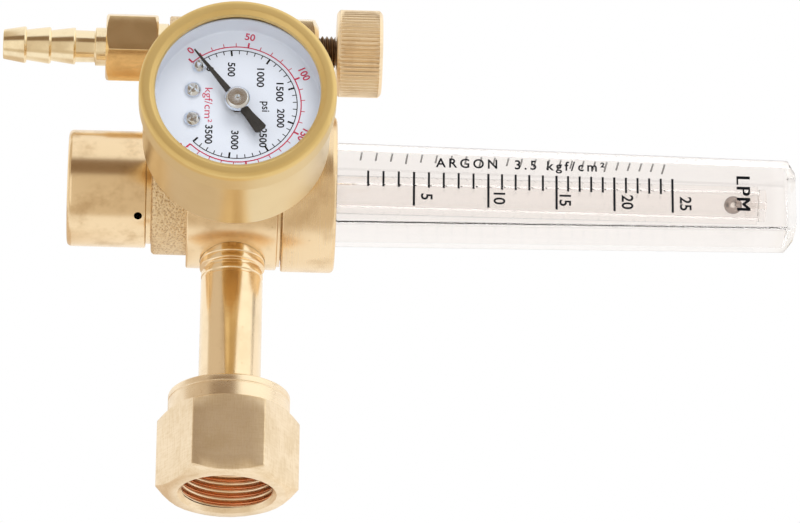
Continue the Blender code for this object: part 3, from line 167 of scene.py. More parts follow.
@dataclass
class Graph:
    """The nodes of one material or of the world."""

    tree: bpy.types.NodeTree

    def node(self, kind: str, settings: dict | None = None, **inputs: object) -> bpy.types.Node:
        """Add a node.

        Args:
            kind: The node's type without its leading ShaderNode.
            settings: Attributes that are set before its sockets.
            inputs: Its sockets, as dress takes them.

        Returns:
            The new node.
        """
        node = self.tree.nodes.new("ShaderNode" + kind)
        for name, value in (settings or {}).items():
            setattr(node, name, value)
        self.dress(node, **inputs)
        return node

    def dress(self, node: bpy.types.Node, **inputs: object) -> None:
        """Give a node's sockets their values or links.

        Args:
            node: The node.
            inputs: Socket names, with _ for a blank or in0, in1 for a place, and a value or a link for each.
        """
        for name, value in inputs.items():
            by_place = name[:2] == "in" and name[2:].isdigit()
            self.feed(node.inputs[int(name[2:]) if by_place else name.replace("_", " ")], value)

    def feed(self, socket: bpy.types.NodeSocket, value: object) -> None:
        """Give one socket its value or link.

        Args:
            socket: The socket.
            value: A Value, another socket or a plain value; a colour comes without its alpha.
        """
        if isinstance(value, Value):
            value = value.socket
        if isinstance(value, bpy.types.NodeSocket):
            self.tree.links.new(value, socket)
        elif isinstance(value, tuple) and len(value) == 3 and socket.type == "RGBA":
            socket.default_value = (*value, 1.0)
        else:
            socket.default_value = value

    def math(self, operation: str, *values: "Value | float") -> Value:
        """Add one Math node and return its result."""
        inputs = {f"in{i}": value for i, value in enumerate(values)}
        return Value(self, self.node("Math", {"operation": operation}, **inputs).outputs[0])

    def ramp(self, value: Value, low: float, high: float) -> Value:
        """Return a smooth step of a value between low and high."""
        step = self.node("MapRange", {"interpolation_type": "SMOOTHSTEP"}, Value=value,
                         From_Min=low, From_Max=high)
        return Value(self, step.outputs["Result"])

    def blend(self, factor: "Value | float", low: object, high: object) -> bpy.types.NodeSocket:
        """Mix two colours.

        Args:
            factor: How much of the second colour there is.
            low: The first colour, or a link to it.
            high: The second colour, or a link to it.

        Returns:
            The mixed colour.
        """
        mix = self.node("Mix", {"data_type": "RGBA"})
        for name, value in (("Factor_Float", factor), ("A_Color", low), ("B_Color", high)):
            self.feed(next(socket for socket in mix.inputs if socket.identifier == name), value)
        return next(socket for socket in mix.outputs if socket.identifier == "Result_Color")

    def axes(self, source: bpy.types.NodeSocket) -> tuple[Value, Value, Value]:
        """Split a vector into its three numbers."""
        split = self.node("SeparateXYZ", Vector=source)
        return tuple(Value(self, split.outputs[i]) for i in range(3))

    def place(self, scale: Triple = (1.0, 1.0, 1.0), at: Triple = (0.0, 0.0, 0.0)) -> bpy.types.NodeSocket:
        """Read the object's own coordinates.

        Args:
            scale: What each of them is multiplied by, once they are centred.
            at: The point that they are centred on, in metres.

        Returns:
            The coordinates.
        """
        here = self.node("TexCoord").outputs["Object"]
        centred = self.node("VectorMath", {"operation": "SUBTRACT"}, in0=here, in1=at).outputs[0]
        return self.node("Mapping", Vector=centred, Scale=scale).outputs[0]

    def noise(self, vector: bpy.types.NodeSocket, scale: float, detail: float = 3.0,
              rough: float = 0.5) -> Value:
        """Return noise on a vector, centred on 0.5."""
        cloud = self.node("TexNoise", Vector=vector, Scale=scale, Detail=detail, Roughness=rough)
        return Value(self, cloud.outputs[0])

    def facing(self) -> Value:
        """Return how far a surface turns from the view: 0 where it is square to it, 1 at its rim."""
        return Value(self, self.node("LayerWeight", Blend=0.5).outputs["Facing"])

    def inner_side(self) -> Value:
        """Return 1 on a surface's inner side and 0 on its outer one."""
        return Value(self, self.node("NewGeometry").outputs["Backfacing"])

    def rays(self, *kinds: str) -> list[Value]:
        """Return, for each kind of ray such as Camera, 1 where the ray is of that kind and 0 elsewhere."""
        path = self.node("LightPath")
        return [Value(self, path.outputs[f"Is {kind} Ray"]) for kind in kinds]

    def bump(self, height: Value, distance: float, strength: float = 1.0) -> bpy.types.NodeSocket:
        """Turn a height into a normal."""
        return self.node("Bump", Height=height, Distance=distance, Strength=strength).outputs[0]


@dataclass(frozen=True)
class Finish:
    """What every finish has: its name and the constants of its Principled shader."""

    name: str
    colour: Triple
    roughness: float = 0.3
    metallic: float = 1.0
    shine: float = 0.5

    def start(self) -> tuple[bpy.types.Material, Graph, bpy.types.Node]:
        """Make the material with its plain constants.

        Returns:
            The material, its graph and its Principled shader.
        """
        material = bpy.data.materials.new(self.name)
        material.use_nodes = True
        graph = Graph(material.node_tree)
        shader = material.node_tree.nodes["Principled BSDF"]
        graph.dress(shader, Base_Color=self.colour, Roughness=self.roughness, Metallic=self.metallic,
                    Specular_IOR_Level=self.shine)
        return material, graph, shader

    def make(self) -> bpy.types.Material:
        """Return the material."""
        return self.start()[0]


@dataclass(frozen=True)
class TurnedBrass(Finish):
    """Brass with fine turning lines round its axis, soft stains, a few darker specks and, in a thread,
    painted shade in its grooves.
    """

    axis: Heading = Heading.UP
    at: Triple = ON_MAIN
    stain: Triple = (0.52, 0.33, 0.15)
    line_depth: float = 0.006
    stain_amount: float = 0.25
    speck_amount: float = 0.35
    line_scale: float = 5200.0
    # Between the two radii of this span, a thread's grooves take the tone below: painted shade, not a colour
    # of the brass.
    roots: Pair = (0.0, 0.0)
    root_tone: Triple = (1.0, 0.52, 0.29)

    def make(self) -> bpy.types.Material:
        """Stretch noise right round the axis, so that it changes only along it and along the radius.

        In a thread, the tone passes to a darker copper painted shade in the grooves between two radii.

        Returns:
            The material.
        """
        material, graph, shader = self.start()
        centred = graph.place(at=tuple(value * MM for value in self.at))
        x, y, z = graph.axes(centred)
        along, p, q = {Heading.UP: (z, x, y), Heading.MOUTH: (x, y, z), Heading.FRONT: (y, x, z)}[self.axis]
        radius = (p * p + q * q).square_root()
        spoke = graph.node("CombineXYZ", X=along, Y=radius).outputs[0]
        fine = graph.noise(spoke, self.line_scale, 2.0, 0.6)
        coarse = graph.noise(spoke, self.line_scale / 6, 2.0)
        cloud = graph.noise(centred, 140.0, 4.0, 0.6)
        speck = graph.noise(centred, 900.0, 2.0).band(0.70, 0.78)
        tone = graph.blend(cloud.band(0.46, 0.72) * self.stain_amount, self.colour, self.stain)
        tone = graph.blend(speck * self.speck_amount, tone, self.stain)
        # Painted shade: the thread's grooves, between the span's radii, turn to the darker copper tone.
        if self.roots[1]:
            low, high = (value * MM for value in self.roots)
            tone = graph.blend(radius.band(low, high), tone, self.root_tone)
        rough = self.roughness + (fine - 0.5) * 0.16 + (cloud - 0.5) * 0.18
        wave = fine * 0.6 + coarse * 0.4
        graph.dress(shader, Base_Color=tone, Roughness=rough.clamp(),
                    Normal=graph.bump(wave, self.line_depth * MM, 0.6))
        return material


@dataclass(frozen=True)
class BrushedBrass(Finish):
    """Milled brass faces: short cross-hatched brush marks and a dull cloud."""

    dull: Triple = (0.62, 0.44, 0.20)
    bump: float = 0.006
    long_marks: Triple = (300.0, 3400.0, 3400.0)
    cross_marks: Triple = (3400.0, 420.0, 420.0)

    def make(self) -> bpy.types.Material:
        """Stretch noise along x, and again along the other two axes, for tone, roughness and bump.

        Returns:
            The material.
        """
        material, graph, shader = self.start()
        along = graph.noise(graph.place(self.long_marks), 1.0, 3.0, 0.6)
        across = graph.noise(graph.place(self.cross_marks), 1.0, 3.0, 0.6)
        cloud = graph.noise(graph.place(), 160.0, 4.0, 0.6)
        marks = along * 0.55 + across * 0.45
        tone = graph.blend(cloud.band(0.4, 0.75) * 0.3, self.colour, self.dull)
        tone = graph.blend(marks.band(0.44, 0.60) * 0.26, tone, self.dull)
        rough = self.roughness + (marks - 0.5) * 0.3
        graph.dress(shader, Base_Color=tone, Roughness=rough.clamp(),
                    Normal=graph.bump(marks, self.bump * MM, 0.7))
        return material


@dataclass(frozen=True)
class StippledBrass(Finish):
    """The forging's unmachined skin: a fine sandy stipple that glitters."""

    pit: Triple = (0.56, 0.39, 0.23)
    cell_scale: float = 1900.0
    sand_scale: float = 1700.0
    depth: float = 0.22

    def make(self) -> bpy.types.Material:
        """Add cells and noise, both about half a millimetre across, as tone, roughness and bump.

        Returns:
            The material.
        """
        material, graph, shader = self.start()
        here = graph.place()
        cells = graph.node("TexVoronoi", {"feature": "F1"}, Vector=here, Scale=self.cell_scale)
        sand = graph.noise(here, self.sand_scale, 3.0, 0.6)
        height = Value(graph, cells.outputs["Distance"]) * 0.55 + sand * 0.75
        rough = self.roughness + (sand - 0.5) * 0.4
        graph.dress(shader, Base_Color=graph.blend(height.band(0.35, 0.75), self.pit, self.colour),
                    Roughness=rough.clamp(), Normal=graph.bump(height, self.depth * MM))
        return material


@dataclass(frozen=True)
class SatinLacquer(Finish):
    """Gold lacquer on pressed steel, with a faint orange-peel skin and small soft marks."""

    shade: Triple = (0.60, 0.40, 0.10)
    side: Triple = (0.82, 0.66, 0.38)
    side_at: Pair = (0.0, 0.0)
    skin_depth: float = 0.004

    def make(self) -> bpy.types.Material:
        """Add broad noise to tone and roughness, and fine noise as bump.

        Where two depths are given, the tone passes to the side's between them.

        Returns:
            The material.
        """
        material, graph, shader = self.start()
        here = graph.place()
        cloud = graph.noise(here, 90.0, 3.0)
        grain = graph.noise(here, 3800.0, 2.0)
        tone = graph.blend(cloud.band(0.35, 0.75) * 0.5, self.colour, self.shade)
        if self.side_at[1]:
            low, high = (value * MM for value in self.side_at)
            tone = graph.blend(graph.axes(here)[1].band(low, high), tone, self.side)
        rough = self.roughness + (cloud - 0.5) * 0.1
        graph.dress(shader, Base_Color=tone, Roughness=rough.clamp(),
                    Normal=graph.bump(grain, self.skin_depth * MM, 0.5))
        return material


@dataclass(frozen=True)
class Speckled(Finish):
    """A plain finish with a soft cloud in its tone and a fine grain: steel, paint, rubber or bronze."""

    other: Triple = (0.5, 0.5, 0.5)
    amount: float = 0.25
    grain_scale: float = 2500.0
    grain_depth: float = 0.003

    def make(self) -> bpy.types.Material:
        """Add noise to tone, and finer noise to roughness and as bump.

        Returns:
            The material.
        """
        material, graph, shader = self.start()
        here = graph.place()
        cloud = graph.noise(here, 300.0, 3.0)
        grain = graph.noise(here, self.grain_scale, 3.0)
        rough = self.roughness + (grain - 0.5) * 0.2
        tone = graph.blend(cloud.band(0.4, 0.8) * self.amount, self.colour, self.other)
        graph.dress(shader, Base_Color=tone, Roughness=rough.clamp(),
                    Normal=graph.bump(grain, self.grain_depth * MM, 0.6))
        return material


@dataclass(frozen=True)
class ClearStock(Finish):
    """Clear glass or plastic, with very faint moulding waves and grey painted shade at its edges."""

    index: float = 1.2
    wave: float = 0.0008
    coat: float = 1.0
    # The grey of the painted shade at grazing angles and along the cover's corners.
    edge: Triple = (0.80, 0.77, 0.76)

    def make(self) -> bpy.types.Material:
        """Let all light through, and add a slow wave as bump.

        It carries grey painted shade where it is seen edge on, and along the cover's four long corners:
        there, the places across and through the cover are both within a millimetre of its tapered half sizes.

        Returns:
            The material.
        """
        material, graph, shader = self.start()
        foot, end = COVER_SPAN
        x, y, z = graph.axes(graph.place((1 / MM, 1 / MM, 1 / MM), (MAIN_X * MM, 0.0, foot * MM)))
        # Painted shade: grey where the surface turns edge on and along the cover's four long corners.
        near = [(place.size() - (z * ((half[1] - half[0]) / (end - foot)) + half[0])).band(-1.0, -0.45)
                for place, half in ((x, COVER_HALF_X), (y, COVER_HALF_Y))]
        painted_edge_shade = (graph.facing().band(0.62, 0.97) + near[0] * near[1]).clamp()
        slow = graph.noise(graph.place((1.0, 1.0, 0.25)), 260.0, 2.0)
        graph.dress(shader, Base_Color=graph.blend(painted_edge_shade, self.colour, self.edge), Transmission_Weight=1.0,
                    IOR=self.index, Coat_Weight=self.coat, Normal=graph.bump(slow, self.wave * MM, 0.5))
        return material


@dataclass(frozen=True)
class ThinPane(Finish):
    """A flat window that lets light straight through and only reflects a little."""

    index: float = 1.45

    def make(self) -> bpy.types.Material:
        """Make a mirror that is only as opaque as the pane's outer side reflects.

        Returns:
            The material.
        """
        material, graph, shader = self.start()
        share = Value(graph, graph.node("Fresnel", IOR=self.index).outputs[0])
        graph.dress(shader, Alpha=(share * (1 - graph.inner_side())).clamp())
        return material


@dataclass(frozen=True)
class PolishedBall(Finish):
    """A polished ball with a painted highlight in its middle, its darker tone round it and a painted dark
    reflection of the tube at its rim.
    """

    # round_spot is the ball's tone round the painted highlight; rim is the painted dark reflection of the
    # tube.
    round_spot: Triple = (0.42, 0.36, 0.33)
    rim: Triple = (0.16, 0.12, 0.10)

    def make(self) -> bpy.types.Material:
        """Paint a highlight where the surface faces the view, then pass to the darker tone and to the painted
        dark rim as it turns away.

        Returns:
            The material.
        """
        material, graph, shader = self.start()
        facing = graph.facing()
        # Painted highlight in the middle, painted reflection at the rim.
        tone = graph.blend(facing.band(0.01, 0.08), self.colour, self.round_spot)
        graph.dress(shader, Base_Color=graph.blend(facing.band(0.3, 0.8), tone, self.rim))
        return material


@dataclass(frozen=True)
class Ink(Finish):
    """Printing ink, a little uneven in its tone."""

    metallic: float = 0.0
    shine: float = 0.0
    faded: Triple = (0.03, 0.03, 0.03)

    def make(self) -> bpy.types.Material:
        """Thin the ink's tone by noise.

        Returns:
            The material.
        """
        material, graph, shader = self.start()
        thin = graph.noise(graph.place(), 1800.0, 3.0).band(0.45, 0.75)
        graph.dress(shader, Base_Color=graph.blend(thin * 0.5, self.colour, self.faded))
        return material


class Palette:
    """Every finish of the regulator, each made once."""

    def __init__(self) -> None:
        """List the finishes by the name that the pieces use."""
        brass = (0.93, 0.73, 0.47)
        nut = (0.99, 0.83, 0.61)
        self.finishes: dict[str, Finish] = {
            "bonnet": TurnedBrass("bonnet brass", brass, 0.21, stain_amount=0.5),
            "body": TurnedBrass("body brass", brass, 0.22, stain_amount=0.3),
            "collar": TurnedBrass("collar brass", brass, 0.26, stain_amount=0.35),
            "stipple": StippledBrass("forged skin", (0.88, 0.70, 0.45), 0.42),
            "nipple": TurnedBrass("nipple brass", (0.99, 0.81, 0.56), 0.17, axis=Heading.MOUTH, at=AT_MOUTH,
                                  line_depth=0.012, stain_amount=0.15),
            "nut": BrushedBrass("nut brass", nut, 0.36),
            "shoulder": TurnedBrass("shoulder brass", nut, 0.28, axis=Heading.MOUTH, at=AT_MOUTH,
                                    line_depth=0.012, line_scale=3000.0),
            # The thread's grooves, between radii of 10.1 and 11.0 mm, take a darker copper tone: painted
            # shade.
            "thread": TurnedBrass("cut thread", (1.0, 0.80, 0.58), 0.24, axis=Heading.MOUTH, at=AT_MOUTH,
                                  roots=(10.1, 11.0)),
            "barb": TurnedBrass("barb brass", (0.97, 0.83, 0.57), 0.18, at=ON_VALVE),
            "hexagon": BrushedBrass("hexagon brass", (1.0, 0.80, 0.50), 0.20, bump=0.002),
            "knob": TurnedBrass("knob brass", (1.0, 0.83, 0.59), 0.32, at=ON_VALVE),
            "stem": Speckled("dark stem brass", (0.22, 0.15, 0.10), 0.35, other=(0.40, 0.28, 0.15)),
            "gold": SatinLacquer("gauge gold", (0.85, 0.65, 0.29), 0.50, shade=(0.77, 0.57, 0.23),
                                 side_at=(-50.2, -48.8)),
            "case": SatinLacquer("case gold", (0.82, 0.66, 0.38), 0.30, shade=(0.74, 0.57, 0.30)),
            "steel": Speckled("plated steel", (0.86, 0.92, 1.0), 0.22, other=(0.80, 0.86, 0.95),
                              grain_depth=0.0003),
            # The ball's colour is a painted highlight; PolishedBall darkens it away from the middle and
            # paints a dark reflection at its rim.
            "ball": PolishedBall("ball steel", (1.0, 0.97, 0.93), 0.08),
            "turned steel": TurnedBrass("turned steel", (0.86, 0.92, 1.0), 0.20, axis=Heading.FRONT,
                                        stain=(0.60, 0.62, 0.66), stain_amount=0.05, line_depth=0.004),
            "dial": Speckled("dial enamel", (0.63, 0.66, 0.72), 0.42, 0.0, other=(0.60, 0.63, 0.70),
                             grain_depth=0.001),
            "pointer": Speckled("pointer black", (0.03, 0.028, 0.026), 0.6, 0.0, shine=0.2,
                                other=(0.05, 0.045, 0.04)),
            "glass": ThinPane("window glass", (1.0, 1.0, 1.0), 0.03),
            # The clear moulding carries grey painted shade at its edges and along the cover's corners.
            "plastic": ClearStock("clear moulding", (0.985, 0.964, 0.950), 0.01, 0.0),
            "rubber": Speckled("black rubber", (0.03, 0.03, 0.03), 0.6, 0.0, other=(0.06, 0.06, 0.06)),
            "seal": Speckled("white seal", (0.80, 0.79, 0.76), 0.5, 0.0, other=(0.70, 0.68, 0.64)),
            "filter": Speckled("sintered bronze", (0.45, 0.30, 0.18), 0.7, other=(0.25, 0.16, 0.10),
                               grain_scale=4200.0, grain_depth=0.03),
            "black ink": Ink("black ink", (0.012, 0.012, 0.014), 0.5),
            "red ink": Ink("red ink", (0.50, 0.03, 0.08), 0.5, faded=(0.58, 0.10, 0.15)),
            "plain brass": TurnedBrass("inner brass", brass, 0.3),
        }
        self.made: dict[str, bpy.types.Material] = {}

    def get(self, name: str) -> bpy.types.Material:
        """Look up a finish's material, which is made the first time that it is asked for.

        Args:
            name: The finish, by the name that the pieces use.

        Returns:
            The material.
        """
        if name not in self.made:
            self.made[name] = self.finishes[name].make()
        return self.made[name]


class Shape:
    """Curves and surfaces worked out as whole arrays, in millimetres."""

    NEARLY_STRAIGHT = math.radians(88)
    MOST_OF_A_SIDE = 0.48

    @staticmethod
    def rounded(corners: Sequence[Pair], radius: float | Sequence[float], count: int = 5) -> np.ndarray:
        """Round the corners of an open outline.

        Each inner corner becomes an arc that touches both of its sides: its centre lies on the corner's
        bisector, and its ends lie radius / tan(half the corner's angle) from the corner, held to just
        under half of each side.

        Args:
            corners: The outline's corners.
            radius: One radius, or one for each inner corner; 0 keeps a corner sharp.
            count: Steps in each arc.

        Returns:
            The outline's points, one row each.
        """
        points = np.array(corners, dtype=float)
        radii = np.broadcast_to(radius, len(points) - 2)
        rows = [points[:1]]
        for before, corner, after, reach in zip(points[:-2], points[1:-1], points[2:], radii):
            inward, outward = before - corner, after - corner
            near, far = np.linalg.norm(inward), np.linalg.norm(outward)
            u, v = inward / near, outward / far
            half = math.acos(float(np.clip(u @ v, -1.0, 1.0))) / 2
            if reach <= 0 or half > Shape.NEARLY_STRAIGHT:
                rows.append(corner[None])
                continue
            cut = min(reach / math.tan(half), min(near, far) * Shape.MOST_OF_A_SIDE)
            real = cut * math.tan(half)
            centre = corner + (u + v) / np.linalg.norm(u + v) * real / math.sin(half)
            a, b = corner + u * cut - centre, corner + v * cut - centre
            share = np.linspace(0.0, 1.0, count + 1)[:, None]
            sweep = math.pi - 2 * half
            arc = (np.sin((1 - share) * sweep) * a + np.sin(share * sweep) * b) / math.sin(sweep)
            rows.append(centre + arc)
        rows.append(points[-1:])
        return np.concatenate(rows)

    @staticmethod
    def around(radius: np.ndarray | float, turn: np.ndarray, height: np.ndarray | float) -> np.ndarray:
        """Return points about z: x = radius cos turn, y = radius sin turn, z = height."""
        return np.stack(np.broadcast_arrays(radius * np.cos(turn), radius * np.sin(turn), height), axis=-1)

    @staticmethod
    def circle(steps: int) -> np.ndarray:
        """Return evenly spaced turns round a circle, without the last one that would close it."""
        return np.linspace(0.0, math.tau, steps, endpoint=False)

    @staticmethod
    def spun(profile: np.ndarray, steps: int = STEPS) -> np.ndarray:
        """Turn a profile of (radius, height) about z: x = r cos t, y = r sin t, z = h, t round the circle."""
        return Shape.around(profile[:, 0, None], Shape.circle(steps), profile[:, 1, None])

    @staticmethod
    def rod(radius: float, low: float, high: float) -> np.ndarray:
        """Return the profile of a plain rod between two heights."""
        return np.array([(0.0, low), (radius, low), (radius, high), (0.0, high)])

    @staticmethod
    def rotated(points: np.ndarray, degrees: float) -> np.ndarray:
        """Turn points about z by an angle a: x cos a - y sin a, x sin a + y cos a and z."""
        c, s = math.cos(math.radians(degrees)), math.sin(math.radians(degrees))
        return points @ np.array([(c, s, 0.0), (-s, c, 0.0), (0.0, 0.0, 1.0)])

    @staticmethod
    def pushed(outline: np.ndarray, radius: np.ndarray | float, height: np.ndarray | float) -> np.ndarray:
        """Move an outline's points along their own spokes.

        Args:
            outline: The points, as (x, y) rows.
            radius: How far from the middle each goes; one number for all, or one for each.
            height: The points' z, in the same way.

        Returns:
            One row of points: the outline times radius / reach, at the height.
        """
        reach = np.hypot(outline[:, 0], outline[:, 1])
        scale = np.broadcast_to(radius, reach.shape) / reach
        return np.column_stack([outline * scale[:, None], np.broadcast_to(height, reach.shape)])

    @staticmethod
    def hexagon(across: float, edge: float) -> np.ndarray:
        """Outline a hexagon with rounded corners and flats that face +y and -y.

        Each corner is an arc of the edge's radius about a point on the corner's own spoke; between two
        arcs the side is straight.

        Args:
            across: The width across flats.
            edge: The radius of the corners.

        Returns:
            The outline's points, as (x, y) rows.
        """
        arc_steps, side_steps = 4, 5
        reach = (across / 2 - edge) / math.cos(math.pi / 6)
        corner = np.arange(6)[:, None] * math.pi / 3
        swing = np.linspace(-math.pi / 6, math.pi / 6, arc_steps + 1)[None]
        x = reach * np.cos(corner) + edge * np.cos(corner + swing)
        y = reach * np.sin(corner) + edge * np.sin(corner + swing)
        arcs = np.stack([x, y], axis=-1)
        share = (np.arange(1, side_steps) / side_steps)[None, :, None]
        follow = np.roll(arcs[:, 0], -1, axis=0)[:, None]
        sides = arcs[:, -1:] * (1 - share) + follow * share
        return np.concatenate([arcs, sides], axis=1).reshape(-1, 2)

    @staticmethod
    def text(words: str, height: float, bold: float = 0.0, width: float = 0.0,
             spacing: float = 1.0) -> tuple[np.ndarray, list[tuple[int, ...]]]:
        """Set flat lettering about the origin.

        Args:
            words: The text.
            height: The height of a capital or figure, in millimetres.
            bold: How far the strokes are fattened, in millimetres.
            width: How wide the whole text is, in millimetres; 0 leaves it as the letters have it.
            spacing: How far apart the letters stand, 1 being the font's own.

        Returns:
            The points, centred, in millimetres, and the faces.
        """
        curve = bpy.data.curves.new("letters", "FONT")
        curve.body = words
        curve.size = 1.0
        curve.resolution_u = 4
        curve.space_character = spacing
        curve.offset = bold / height * CAP_HEIGHT
        obj = bpy.data.objects.new("letters", curve)
        bpy.context.scene.collection.objects.link(obj)
        bpy.context.view_layer.update()
        mesh = bpy.data.meshes.new_from_object(obj.evaluated_get(bpy.context.evaluated_depsgraph_get()))
        flat = np.empty(len(mesh.vertices) * 3)
        mesh.vertices.foreach_get("co", flat)
        faces = [tuple(face.vertices) for face in mesh.polygons]
        bpy.data.objects.remove(obj, do_unlink=True)
        points = flat.reshape(-1, 3)
        low, high = points.min(axis=0), points.max(axis=0)
        points = (points - [(low[0] + high[0]) / 2, CAP_HEIGHT / 2, 0.0]) * (height / CAP_HEIGHT)
        if width:
            points[:, 0] *= width / (points[:, 0].max() - points[:, 0].min())
        return points, faces


class Facing(Enum):
    """Which way a piece's faces point once its mesh is made."""

    OUTWARD = "out of a closed shape"
    KEPT = "as they were put together"
    TURNED = "all turned round"
    FRONT = "towards the viewer, along -y"

    def apply(self, bm: bmesh.types.BMesh) -> None:
        """Point the faces of a mesh that is being made.

        Args:
            bm: The mesh.
        """
        if self is Facing.OUTWARD:
            bmesh.ops.recalc_face_normals(bm, faces=bm.faces)
        elif self is not Facing.KEPT:
            bm.normal_update()
            turned = [face for face in bm.faces if self is Facing.TURNED or face.normal.y > 0]
            bmesh.ops.reverse_faces(bm, faces=turned)


def smooth(mesh: bpy.types.Mesh, sharp: float = SHARP) -> None:
    """Shade a mesh smooth, apart from edges past an angle in degrees."""
    mesh.shade_smooth()
    mesh.set_sharp_from_angle(angle=math.radians(sharp))


@dataclass
class Sheet:
    """Points and faces of a piece that is still being put together, in millimetres."""

    points: list[np.ndarray] = field(default_factory=list)
    faces: list[tuple[int, ...]] = field(default_factory=list)
    total: int = 0

    def add(self, points: np.ndarray, faces: Sequence[Sequence[int]]) -> "Sheet":
        """Add points and the faces on them.

        Args:
            points: The points.
            faces: For each face, the places of its points among these.

        Returns:
            This sheet.
        """
        self.points.append(points.reshape(-1, 3))
        self.faces += [tuple(int(i) + self.total for i in face) for face in faces]
        self.total += len(self.points[-1])
        return self

    def grid(self, points: np.ndarray, wrap: bool = True, close: bool = False) -> "Sheet":
        """Add a grid of points as quads.

        Args:
            points: Rows and columns of points.
            wrap: Whether the last column is joined to the first.
            close: Whether the last row is joined to the first.

        Returns:
            This sheet.
        """
        rows, columns = points.shape[:2]
        index = np.arange(rows * columns).reshape(rows, columns)
        if close:
            index = np.vstack([index, index[:1]])
        if wrap:
            index = np.hstack([index, index[:, :1]])
        quads = np.stack([index[:-1, :-1], index[:-1, 1:], index[1:, 1:], index[1:, :-1]], axis=-1)
        return self.add(points, quads.reshape(-1, 4))

    def words(self, text: str, height: float, at: Pair, turn: float = 0.0, bold: float = 0.0,
              width: float = 0.0, spacing: float = 1.0) -> None:
        """Add flat lettering in the plane of x and y.

        Args:
            text: The words.
            height: The height of a capital or figure.
            at: Where the middle of the words goes.
            turn: The angle that they are turned by, in degrees.
            bold: How far the strokes are fattened.
            width: How wide the whole text is; 0 leaves it as the letters have it.
            spacing: How far apart the letters stand, 1 being the font's own.
        """
        points, faces = Shape.text(text, height, bold, width, spacing)
        self.add(Shape.rotated(points, turn) + (*at, 0.0), faces)

    def moved(self, carry: Callable[[np.ndarray], np.ndarray]) -> "Sheet":
        """Put every point where a function carries it, and return this sheet."""
        self.points = [carry(points) for points in self.points]
        return self

    def build(self, name: str, sharp: float = SHARP, facing: Facing = Facing.OUTWARD) -> bpy.types.Object:
        """Make the object, with poles and seams closed and its true edges kept sharp.

        Args:
            name: The piece's name.
            sharp: The angle, in degrees, past which an edge stays sharp.
            facing: Which way its faces point.

        Returns:
            The object, at the origin.
        """
        mesh = bpy.data.meshes.new(name)
        mesh.from_pydata((np.concatenate(self.points) * MM).tolist(), [], self.faces)
        bm = bmesh.new()
        bm.from_mesh(mesh)
        bmesh.ops.remove_doubles(bm, verts=bm.verts, dist=1e-7)
        bmesh.ops.dissolve_degenerate(bm, edges=bm.edges, dist=1e-8)
        facing.apply(bm)
        bm.to_mesh(mesh)
        bm.free()
        smooth(mesh, sharp)
        obj = bpy.data.objects.new(name, mesh)
        bpy.context.scene.collection.objects.link(obj)
        return obj


@dataclass
class Maker:
    """What the sub-assemblies share: the finishes, and how a piece is finished off and reported."""

    palette: Palette

    def finish(self, obj: bpy.types.Object, finish: str, body: str, slot: str,
               stands_for: Sequence[str] = ()) -> None:
        """Give a piece its finish, put it on its body and hide the CAD nodes that it stands for.

        Args:
            obj: The piece.
            finish: Its finish, by the palette's name.
            body: The body that it moves with.
            slot: Its material slot's name; not used.
            stands_for: The CAD nodes that it replaces.
        """
        obj.data.materials.clear()
        obj.data.materials.append(self.palette.get(finish))
        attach(obj, body)
        if stands_for:
            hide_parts(*stands_for)
        LOG.info("%s: %d faces on %s", obj.name, len(obj.data.polygons), body)

    def turned(self, name: str, profile: np.ndarray, heading: Heading, at: Triple,
               steps: int = STEPS) -> bpy.types.Object:
        """Make one turned piece from its whole profile."""
        return Sheet().grid(heading.carry(Shape.spun(profile, steps), at)).build(name)

    def ring(self, name: str, profile: np.ndarray, heading: Heading, at: Triple,
             steps: int = STEPS) -> bpy.types.Object:
        """Make one turned piece whose profile closes on itself, so that it has a bore."""
        return Sheet().grid(heading.carry(Shape.spun(profile, steps), at), close=True).build(name)

    def drill(self, obj: bpy.types.Object, tool: bpy.types.Object) -> None:
        """Cut a tool from a piece for good, and remove the tool.

        Args:
            obj: The piece.
            tool: A closed shape.
        """
        step = obj.modifiers.new("Drill", "BOOLEAN")
        step.solver = "EXACT"
        step.object = tool
        graph = bpy.context.evaluated_depsgraph_get()
        mesh = bpy.data.meshes.new_from_object(obj.evaluated_get(graph))
        obj.modifiers.clear()
        obj.data = mesh
        bpy.data.objects.remove(tool, do_unlink=True)
        smooth(mesh)


